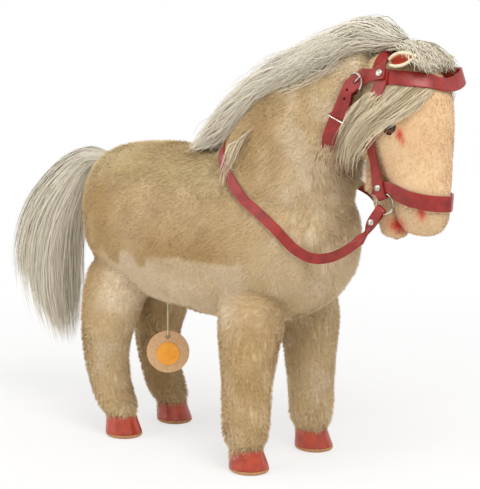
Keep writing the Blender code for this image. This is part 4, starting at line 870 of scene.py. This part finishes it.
def hairCore(name, node, rings, share, last):
    # an oval tube through the same rings, at a share of their size, that rounds off to a pole at each end
    u = np.linspace(0, 1, 70)[:, None]
    turn = np.linspace(0, 2 * np.pi, 48, endpoint=False)[None, :]
    size = share * np.sqrt(np.clip(1 - np.abs(2 * u - 1) ** 5, 0, 1))
    middle, offset = onRings(rings, u * last, turn, 0.001)
    points = middle + offset * size[..., None]
    piece = meshFromArrays(name, points.reshape(-1, 3), gridQuads(*points.shape[:2]))
    streak = np.stack([np.cos(turn) + 0 * u, np.sin(turn) + 0 * u, 0.35 * u + 0 * turn], -1).reshape(-1, 3)
    setAttribute(piece, "tone", 0.15 + 0.7 * cloudNoise(streak, 0.09, 25))
    # the core takes the painted shade of the strands' middles
    setAttribute(piece, "rise", np.full(len(streak), 0.5))

    def closePoles(shell):
        bmesh.ops.remove_doubles(shell, verts=shell.verts, dist=1e-6)
        faceOutward(shell)

    editMesh(piece, closePoles)
    piece.data.materials.append(longHair)
    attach(piece, "horse")
    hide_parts(node)


hairCore("tail_core", "tail", tailRings, share=0.50, last=4.4)
hairCore("mane_core", "mane", maneRings, share=0.66, last=6.9)


# Forelock: a tuft over the poll, and long strands that sweep back over the eye and cheek

forelock = {"thick": 0.0065, "wide": 0.030, "count": 2200, "levels": 10, "start": (-0.3, 2.4),
            "startPower": 1.0, "travel": (1.2, 2.4), "end": (2.9, 3.6), "shorterOutside": 0.0, "swing": 24,
            "inner": 0.1, "rootShare": 0.6, "flyaway": 0.6, "waves": 0.8, "waveSize": 0.0007, "width": 0.0004,
            "twist": 0.9, "tone": (0.55, 0.12), "lift": 0.0004, "liftSpread": 0.0024, "seed": 71}
headFrame = {"origin": (0.1628, 0.0, 0.159), "size": (0.070, 0.0235, 0.121)}


def headPlace(forward, aside, high):
    # shares of the head's depth, half width and height to metres
    return np.array(headFrame["origin"]) + np.array(headFrame["size"]) * np.array((forward, aside, high))


# from the poll forward
forelockRows = [
    (-0.12, 0.0, 0.935, -50, 1.0, 0.9), (0.05, 0.0, 0.950, -50, 1.3, 1.1), (0.17, 0.0, 0.910, -50, 1.3, 1.2),
    (0.28, 0.0, 0.855, -50, 1.0, 1.2), (0.35, 0.0, 0.800, -50, 0.5, 1.1)]
random = np.random.default_rng(forelock["seed"])
forelockRings = ringTable(forelockRows, forelock, headFrame["origin"], headFrame["size"])
paths, facing = strandsThroughRings(forelockRings, forelock, random)
facePoints, faceNormals, _ = surfaceArrays(faceSkin)
lift = forelock["lift"] + forelock["liftSpread"] * random.random(forelock["count"])[:, None]
paths, facing = lieOn(paths, facePoints, faceNormals, lift)
tuft = hairPiece("forelock_tuft", paths, facing, forelock, random, asLock=False)
hairCore("forelock_core", "forelock", forelockRings, share=0.55, last=3.0)
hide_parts("forelock")

# each guide, in millimetres, runs from the browband over the eye and cheek strap to behind the cheek
sweep = {"count": 500, "levels": 14, "width": 0.00032, "lift": 0.0016, "waves": 1.5, "waveSize": 0.0009,
         "drift": 0.0022, "leftShare": 0.5, "twist": 0.9, "tone": (0.45, 0.3), "seed": 81}
sweepGuides = np.array([
    [(186.5, 6.2, 249.0), (183.5, 15.6, 240.6), (175.6, 21.2, 233.0), (163.0, 24.0, 226.0),
     (154.8, 26.0, 220.2), (144.7, 23.5, 212.1), (135.0, 19.5, 200.6)],
    [(181.6, 13.0, 250.4), (173.6, 21.0, 241.1), (163.3, 24.2, 233.4), (155.3, 27.5, 226.8),
     (145.3, 25.5, 218.2), (137.4, 22.5, 207.0), (132.4, 19.5, 195.6)],
    [(169.5, 19.3, 251.6), (162.8, 23.6, 243.4), (158.0, 28.2, 236.3), (147.3, 26.5, 229.0),
     (138.0, 23.5, 219.1), (132.9, 21.5, 208.0), (129.8, 19.0, 196.1)],
    [(160.0, 20.6, 250.5), (151.4, 26.0, 245.1), (145.0, 25.5, 238.5), (137.8, 23.8, 231.2),
     (131.3, 21.8, 222.5), (128.0, 20.3, 211.4), (127.5, 19.0, 199.1)],
    [(152.0, 20.0, 246.0), (142.5, 22.5, 240.0), (136.0, 23.4, 232.0), (130.2, 22.9, 222.0),
     (126.4, 21.3, 212.0), (124.8, 19.3, 201.0), (125.0, 17.0, 191.0)]]) / 1000
# a short lock at the withers hangs over the end of the reins
withers = {"count": 90, "levels": 10, "width": 0.00032, "lift": 0.0028, "waves": 0.8, "waveSize": 0.0008,
           "drift": 0.0016, "twist": 0.9, "tone": (0.4, 0.4), "seed": 91}
withersGuides = np.array([
    [(64.0, 27.0, 223.0), (60.0, 29.5, 215.0), (56.0, 31.5, 207.0), (52.5, 33.5, 199.0),
     (50.5, 35.5, 190.0)],
    [(57.0, 26.5, 219.5), (52.5, 29.5, 210.0), (49.5, 32.0, 201.0), (47.5, 35.0, 193.0),
     (46.5, 37.0, 185.0)],
    [(49.0, 26.0, 214.0), (44.5, 29.0, 206.0), (42.0, 32.0, 198.0), (41.5, 34.5, 190.0),
     (42.0, 37.0, 183.0)]]) / 1000


def sweptStrands(settings, guides, skinPoints, skinNormals, side, count, random):
    # a strand is a blend of two neighbouring guides, kept a little off the skin
    along = np.linspace(0, 1, settings["levels"])[None]
    between = random.random(count) * (len(guides) - 1)
    low = np.clip(np.floor(between).astype(int), 0, len(guides) - 2)
    part = (between - low)[:, None, None]
    control = (guides[low] * (1 - part) + guides[low + 1] * part) * (1, side, 1)
    reach = (0.30 + 0.70 * random.random(count) ** 0.7)[:, None] * along * (control.shape[1] - 1)
    paths = np.stack([sampleRows(c, r) for c, r in zip(control, reach)])
    paths = paths + settings["drift"] * random.standard_normal((count, 1, 3)) * along[..., None]
    paths = paths + wavesAlong(settings, along, count, random, 0.5, 1, 4)
    lift = settings["lift"] * (0.5 + 1.6 * random.random(count) ** 2)[:, None]
    return lieOn(paths, skinPoints, skinNormals, lift * (0.25 + 0.75 * np.minimum(1, 4 * along)))


for name, side, count in (("forelock_sweep_right", -1, sweep["count"]),
                          ("forelock_sweep_left", 1, int(sweep["count"] * sweep["leftShare"]))):
    random = np.random.default_rng(sweep["seed"] + side)
    paths, facing = sweptStrands(sweep, sweepGuides, facePoints, faceNormals, side, count, random)
    hairPiece(name, paths, facing, sweep, random, sweptHair)
random = np.random.default_rng(withers["seed"])
paths, facing = sweptStrands(withers, withersGuides, crest, crestNormals, -1, withers["count"], random)
hairPiece("withers_lock", paths, facing, withers, random, sweptHair)
print("hair done")


# Leather, with cut edges rounded

leather = {"edge": 0.00018, "face": "#96261F", "dark": "#761A15", "flesh": "#A8301A", "cut": "#5E1612",
           "blotch": 6.0, "grain": 0.5, "crease": 2.2, "creaseShare": 1.6}


def leatherMaterial(name, light, dark, roughness, grainDepth):
    # vegetable tanned cowhide, dyed and glazed: fine pores, soft creases, a waxy shine
    material, shader = newMaterial(name, {
        "Roughness": roughness, "Specular IOR Level": 0.4, "Coat Weight": 0.12, "Coat Roughness": 0.25})
    blotch = millimetreNoise(material, leather["blotch"], 4.0)
    ramp = addNode(material, "ValToRGB", {"stops": [(0.30, dark), (0.60, light)]}, {"Fac": blotch})
    feed(material, shader, "Base Color", ramp.outputs["Color"])
    grain = millimetreNoise(material, leather["grain"], 2.0)
    crease = millimetreNoise(material, leather["crease"], 3.0, stretch=(1.0, 1.0, 0.4))
    height = addNode(material, "Math", {"operation": "MULTIPLY_ADD"}, {
        0: crease, 1: leather["creaseShare"], 2: grain}).outputs[0]
    bump = addNode(material, "Bump", inputs={"Height": height, "Distance": grainDepth, "Strength": 0.7})
    feed(material, shader, "Normal", bump.outputs["Normal"])
    return material


leatherFace = leatherMaterial("glazedCowhideRed", leather["face"], leather["dark"], 0.38, 0.00008)
leatherFlesh = leatherMaterial("cowhideFleshSide", leather["flesh"], leather["cut"], 0.8, 0.00012)
leatherCut = leatherMaterial("cowhideCutEdge", leather["cut"], leather["dark"], 0.6, 0.00008)

# Where each strap's inner side looks: a point inside the loop, or the middle plane for the reins
strapInside = {
    "browband": (0.150, 0.0, 0.262), "cheek_strap_left": (0.165, 0.0, 0.215),
    "cheek_strap_right": (0.165, 0.0, 0.215), "noseband": (0.168, 0.0, 0.193),
    "throat_strap": (0.135, 0.0, 0.240), "crown_strap": (0.140, 0.0, 0.240), "reins": None}


def creaseEdges(shell):
    # the flat faces become whole again, and the sharp edges stay sharp when the strap is smoothed
    bmesh.ops.join_triangles(shell, faces=shell.faces, angle_face_threshold=0.4, angle_shape_threshold=0.9)
    crease = shell.edges.layers.float.new("crease_edge")
    for edge in shell.edges:
        edge[crease] = 1.0 if edge.calc_face_angle(0) > math.radians(38) else 0.0


def dressStrap(name):
    # a copy of the strap with its sharp edges rounded, and its inner side given the flesh side's look
    piece = mergedCopy(name + "_leather", [name])
    editMesh(piece, creaseEdges)
    for material in (leatherFace, leatherFlesh, leatherCut):
        piece.data.materials.append(material)
    applyModifiers(piece, {
        "SUBSURF": {"levels": 2, "render_levels": 2},
        "BEVEL": {"width": leather["edge"], "segments": 2, "limit_method": "ANGLE",
                  "angle_limit": math.radians(40), "use_clamp_overlap": True, "material": 2}})
    mesh = piece.data
    centres, normals = fieldOf(mesh.polygons, "center"), fieldOf(mesh.polygons, "normal")
    index = np.empty(len(centres), dtype=np.int32)
    mesh.polygons.foreach_get("material_index", index)
    inside = strapInside[name]
    if inside is None:
        towards, least = np.array((0.0, 1.0, 0.0)) * -np.sign(centres[:, 1:2]), 0.45
    else:
        towards, least = np.array(inside) - centres, 0.35
    inner = (normals * unit(towards)).sum(1) > least
    mesh.polygons.foreach_set("material_index", np.where(index == 2, 2, inner).astype(np.int32))
    mesh.polygons.foreach_set("use_smooth", np.full(len(centres), True))
    mesh.set_sharp_from_angle(angle=math.radians(35))
    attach(piece, "horse")
    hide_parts(name)


for name in leatherNames:
    dressStrap(name)
print("leather dressed")


# Metal, glass, oilcloth, card and thread

# nickel plate over steel, polished: a warm mirror, clouded in patches by handling
nickel = plainMaterial("nickelPlatedSteelPolished", {"Metallic": 1.0, "Roughness": 0.22}, (3.0, 4.0),
                       [(0.30, "#8C8478"), (0.55, "#D6CFC2")], (0.8, 2.0, 0.00003, 1.0))
# drawn steel wire: grey and dull, as the drawing leaves it
steelWire = plainMaterial("softSteelWireDrawn", {"Metallic": 1.0, "Roughness": 0.45}, (2.0,),
                          [(0.3, "#6E6C68"), (0.7, "#9A9892")])
# oilcloth, coated and pressed: orange red and wet looking, with shallow dents
oilcloth = plainMaterial("oilclothCoatedAndPressed",
                         {"Roughness": 0.30, "Coat Weight": 0.35, "Coat Roughness": 0.12}, (7.0, 4.0),
                         [(0.30, "#8E2606"), (0.62, "#AE3812")], (5.0, 3.0, 0.0006, 0.6))
# pulp board, pressed: matt brown with short flecks
soleBoard = plainMaterial("pulpBoardPressed", {"Roughness": 0.85}, (1.5, 5.0),
                          [(0.3, "#A87348"), (0.7, "#C9986A")], (0.6, 3.0, 0.00015, 1.0))
# wool felt, pressed: soft matt cream, a little furry
felt = plainMaterial("woolFeltPressed", {"Roughness": 0.95, "Sheen Weight": 0.3}, (1.2, 5.0),
                     [(0.3, "#DCCFA8"), (0.7, "#EEE5CA")], (0.7, 4.0, 0.0002, 1.0))
# greyboard, cut: matt and warm brown, with faint flecks
tagCard = plainMaterial("greyboardCardCut", {"Roughness": 0.8}, (2.0, 5.0),
                        [(0.3, "#C89C6E"), (0.7, "#D9B48A")], (0.8, 3.0, 0.00006, 1.0))
# gummed paper, printed: an almost even orange
stickerPaper = plainMaterial("gummedPaperPrinted", {"Roughness": 0.6}, (3.0, 4.0),
                             [(0.3, "#EE961C"), (0.7, "#F5AA3A")], (1.0, 3.0, 0.00004, 1.0))
# cotton, twisted: matt, pale and darker in spots
cotton = plainMaterial("cottonThreadTwisted", {"Roughness": 0.9, "Sheen Weight": 0.3}, (0.5,),
                       [(0.3, thread["dark"]), (0.6, thread["light"])])
# wool felt, dyed dark brown: a soft matt rim that sets off the glass
eyelid = plainMaterial("woolFeltDarkBrown", {"Roughness": 0.9, "Sheen Weight": 0.2}, (1.0, 4.0),
                       [(0.3, "#2A1712"), (0.7, "#4A2C24")], (0.7, 4.0, 0.00015, 1.0))
# wool felt, airbrushed: red deep in the ear's hollow, fading to cream at its edge
earLining = plainMaterial("woolFeltAirbrushedRed", {"Roughness": 0.95, "Sheen Weight": 0.2}, "hollow",
                          [(0.42, "#E6D9B4"), (0.72, "#CF6A45"), (0.97, "#B03A20")], (0.7, 4.0, 0.0002, 1.0))

# Ears: felt leaves rolled so that the edges nearly meet, open to the side
ear = {"long": 0.0205, "radius": 0.0047, "curl": 134, "wall": 0.0016, "root": (-0.015, 0.80, 0.869),
       "along": (0.97, 0.10, 0.20), "open": (0.16, 0.95, 0.10), "rows": 22, "across": 22}


def earLeaf(name, node, side):
    # rings of an open roll along the ear: the radius swells, then closes at the tip
    rows, columns = ear["rows"], ear["across"]
    u = np.linspace(0, 1, rows)[:, None]
    v = np.linspace(-1, 1, columns)[None, :]
    along = unit(np.array(ear["along"]) * (1, side, 1))
    opening = np.array(ear["open"]) * (1, side, 1)
    opening = unit(opening - along * (opening @ along))
    across = np.cross(along, opening)
    radius = ear["radius"] * np.clip(np.sin(np.pi * np.clip(u * 0.86 + 0.14, 0, 1)) ** 0.8, 0.02, None)
    turn = np.radians(ear["curl"]) * v * (1 - 0.35 * u)
    root = headPlace(ear["root"][0], side * ear["root"][1], ear["root"][2])
    points = root + along * (u * ear["long"] * (1 - 0.10 * v ** 2 * u))[..., None]
    points = points + across * (radius * np.sin(turn))[..., None]
    points = points - opening * (radius * (np.cos(turn) - 0.3))[..., None]
    quads = gridQuads(rows, columns, roundColumns=False)[:, [1, 2, 3, 0]]
    piece = meshFromArrays(name, points.reshape(-1, 3), quads)
    setAttribute(piece, "hollow", (1 - np.abs(v) ** 2.2) * smoothStep(1 - u, 0.05, 0.25))
    for material in (felt, earLining):
        piece.data.materials.append(material)
    applyModifiers(piece, {"SOLIDIFY": {"thickness": ear["wall"], "offset": -1, "material_offset": 1},
                           "SUBSURF": {"levels": 1, "render_levels": 1}})
    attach(piece, "horse")
    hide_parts(node)


earLeaf("ear_left_felt", "ear_left", 1)
earLeaf("ear_right_felt", "ear_right", -1)


eyeAxis = (0.30, 0.93, 0.10)
eyeRim = {"radius": 0.0047, "wide": 0.0016, "high": 0.0007, "oval": 1.12, "proud": 0.0008, "around": 48,
          "across": 10}


def rimRound(name, node, side):
    # a soft oval ring about the eye: a round bead in section, carried once round the eye's axis
    rows, columns = eyeRim["around"], eyeRim["across"]
    axis = unit(np.array(eyeAxis) * (1, side, 1))
    across = unit(np.cross(axis, (0.0, 0.0, 1.0)))
    upward = np.cross(across, axis)
    turn = np.linspace(0, 2 * np.pi, rows, endpoint=False)[:, None]
    bead = np.linspace(0, 2 * np.pi, columns, endpoint=False)[None, :]
    radius = eyeRim["radius"] + eyeRim["wide"] / 2 * np.cos(bead)
    points = sum(np.array(corner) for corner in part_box(node)) / 2
    points = points + across * (radius * np.cos(turn) * eyeRim["oval"])[..., None]
    points = points + upward * (radius * np.sin(turn))[..., None]
    points = points + axis * (eyeRim["high"] * np.sin(bead) * np.ones_like(turn))[..., None]
    index, _ = nearestOn(points.reshape(-1, 3), facePoints)
    depth = ((facePoints[index] - points.reshape(-1, 3)) * axis).sum(1).reshape(rows, columns)
    points = points + axis * (depth.mean(1, keepdims=True) + eyeRim["proud"])[..., None]
    quads = gridQuads(rows, columns, roundRows=True)
    piece = meshFromArrays(name, points.reshape(-1, 3), quads if side < 0 else quads[:, ::-1])
    editMesh(piece, faceOutward)
    piece.data.materials.append(eyelid)
    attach(piece, "horse")


rimRound("eye_rim_left", "eye_left", 1)
rimRound("eye_rim_right", "eye_right", -1)


def eyeMaterial(name, node):
    # a blown glass eye, brown with a black pupil, seen through a clear polished face
    material, shader = newMaterial(name, {"Roughness": 0.08})
    low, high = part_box(node)
    centre, rim = (low + high) / 2, 0.0045
    axis = (eyeAxis[0], eyeAxis[1] * (-1 if centre[1] < 0 else 1), eyeAxis[2])
    place = addNode(material, "TexCoord").outputs["Object"]
    offset = addNode(material, "VectorMath", {"operation": "SUBTRACT"}, {0: place, 1: centre}).outputs[0]
    across = addNode(material, "VectorMath", {"operation": "CROSS_PRODUCT"}, {0: offset, 1: axis}).outputs[0]
    away = addNode(material, "VectorMath", {"operation": "LENGTH"}, {0: across}).outputs["Value"]
    share = addNode(material, "Math", {"operation": "MULTIPLY"}, {0: away, 1: 1 / rim}).outputs[0]
    ramp = addNode(material, "ValToRGB", {"stops": [
        (0.0, "#060302"), (0.42, "#0A0503"), (0.50, "#4A2410"), (0.80, "#6B3818"), (0.95, "#1C0D06")]},
        {"Fac": share})
    feed(material, shader, "Base Color", ramp.outputs["Color"])
    return material


for names, material in (
        (metalNames, nickel), (["leg_wire_front", "leg_wire_rear"], steelWire),
        ([n for n in nodes if n.startswith("hoof_")], oilcloth),
        ([n for n in nodes if n.startswith("sole_")], soleBoard), (["tag_card"], tagCard),
        (["tag_sticker"], stickerPaper), (["eye_left"], eyeMaterial("brownGlass_eye_left", "eye_left")),
        (["eye_right"], eyeMaterial("brownGlass_eye_right", "eye_right"))):
    for name in names:
        nodes[name].data.materials.clear()
        nodes[name].data.materials.append(material)

route = threadRoute()
threadPiece = twistedTube("tag_thread_cotton", route, thread)
threadPiece.data.materials.append(cotton)
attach(threadPiece, "tag")
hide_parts("tag_thread")


# Floor and light

studio = {"floorHalf": 3.0, "floor": "#F6F5F3", "whiteNear": 0.6, "nearEdge": 0.15, "farEdge": 0.75,
          "ambient": 0.72, "aim": (0.0, 0.0, 0.12)}
# place, size in metres and watts of each lamp
lamps = {"keyLamp": ((0.75, -0.45, 1.10), 0.7, 9.0), "fillLamp": ((-0.55, -1.00, 0.60), 0.9, 3.5)}

floorCorners = np.array([(-1, -1, 0), (1, -1, 0), (1, 1, 0), (-1, 1, 0)]) * studio["floorHalf"]
floorMesh = meshFromArrays("floor", floorCorners, np.array([(0, 1, 2, 3)]), False)
# painted board, matt: nearly white, with hardly a shade in it
floorPaint = plainMaterial("paintedBoardMatt", {"Roughness": 0.9, "Specular IOR Level": 0.1}, (60.0,),
                           [(0.3, "#F4F2F0"), (0.7, studio["floor"])])
shader = floorPaint.node_tree.nodes["Principled BSDF"]
# the camera and the metal see the floor whiten away from the object, and its shadow close by
rays = addNode(floorPaint, "LightPath")
place = addNode(floorPaint, "TexCoord").outputs["Object"]
away = addNode(floorPaint, "VectorMath", {"operation": "LENGTH"}, {0: place}).outputs["Value"]
whitening = addNode(floorPaint, "MapRange", {"interpolation_type": "SMOOTHSTEP"}, {
    "Value": away, "From Min": studio["nearEdge"], "From Max": studio["farEdge"],
    "To Min": studio["whiteNear"], "To Max": 1.0}).outputs["Result"]
seen = addNode(floorPaint, "Math", {"operation": "MAXIMUM"}, {
    0: rays.outputs["Is Camera Ray"], 1: rays.outputs["Is Glossy Ray"]}).outputs[0]
share = addNode(floorPaint, "Math", {"operation": "MULTIPLY"}, {0: whitening, 1: seen}).outputs[0]
glow = addNode(floorPaint, "Emission", inputs={"Color": (1, 1, 1, 1), "Strength": 1.0})
mixed = addNode(floorPaint, "MixShader", inputs={
    0: share, 1: shader.outputs[0], 2: glow.outputs[0]})
surface = floorPaint.node_tree.nodes["Material Output"].inputs["Surface"]
floorPaint.node_tree.links.new(mixed.outputs[0], surface)
floorMesh.data.materials.append(floorPaint)

world = bpy.data.worlds.new("studio")
bpy.context.scene.world = world
world.use_nodes = True
background = world.node_tree.nodes["Background"]
rays = addNode(world, "LightPath").outputs
seen = rays["Is Camera Ray"]
for kind in ("Is Glossy Ray", "Is Transmission Ray"):
    either = addNode(world, "Math", {"operation": "ADD", "use_clamp": True}, {
        0: seen, 1: rays[kind]})
    seen = either.outputs[0]
strength = addNode(world, "MapRange", inputs={
    "Value": seen, "To Min": studio["ambient"], "To Max": 1.0})
world.node_tree.links.new(strength.outputs["Result"], background.inputs["Strength"])
background.inputs["Color"].default_value = (1, 1, 1, 1)

for name, (place, size, watts) in lamps.items():
    lamp = newObject(name, bpy.data.lights.new(name, "AREA"))
    lamp.data.shape = "DISK"
    lamp.data.size = size
    lamp.data.energy = watts
    lamp.location = place
    lamp.rotation_euler = (Vector(studio["aim"]) - Vector(place)).to_track_quat("-Z", "Y").to_euler()
bpy.context.scene.view_settings.view_transform = "Standard"
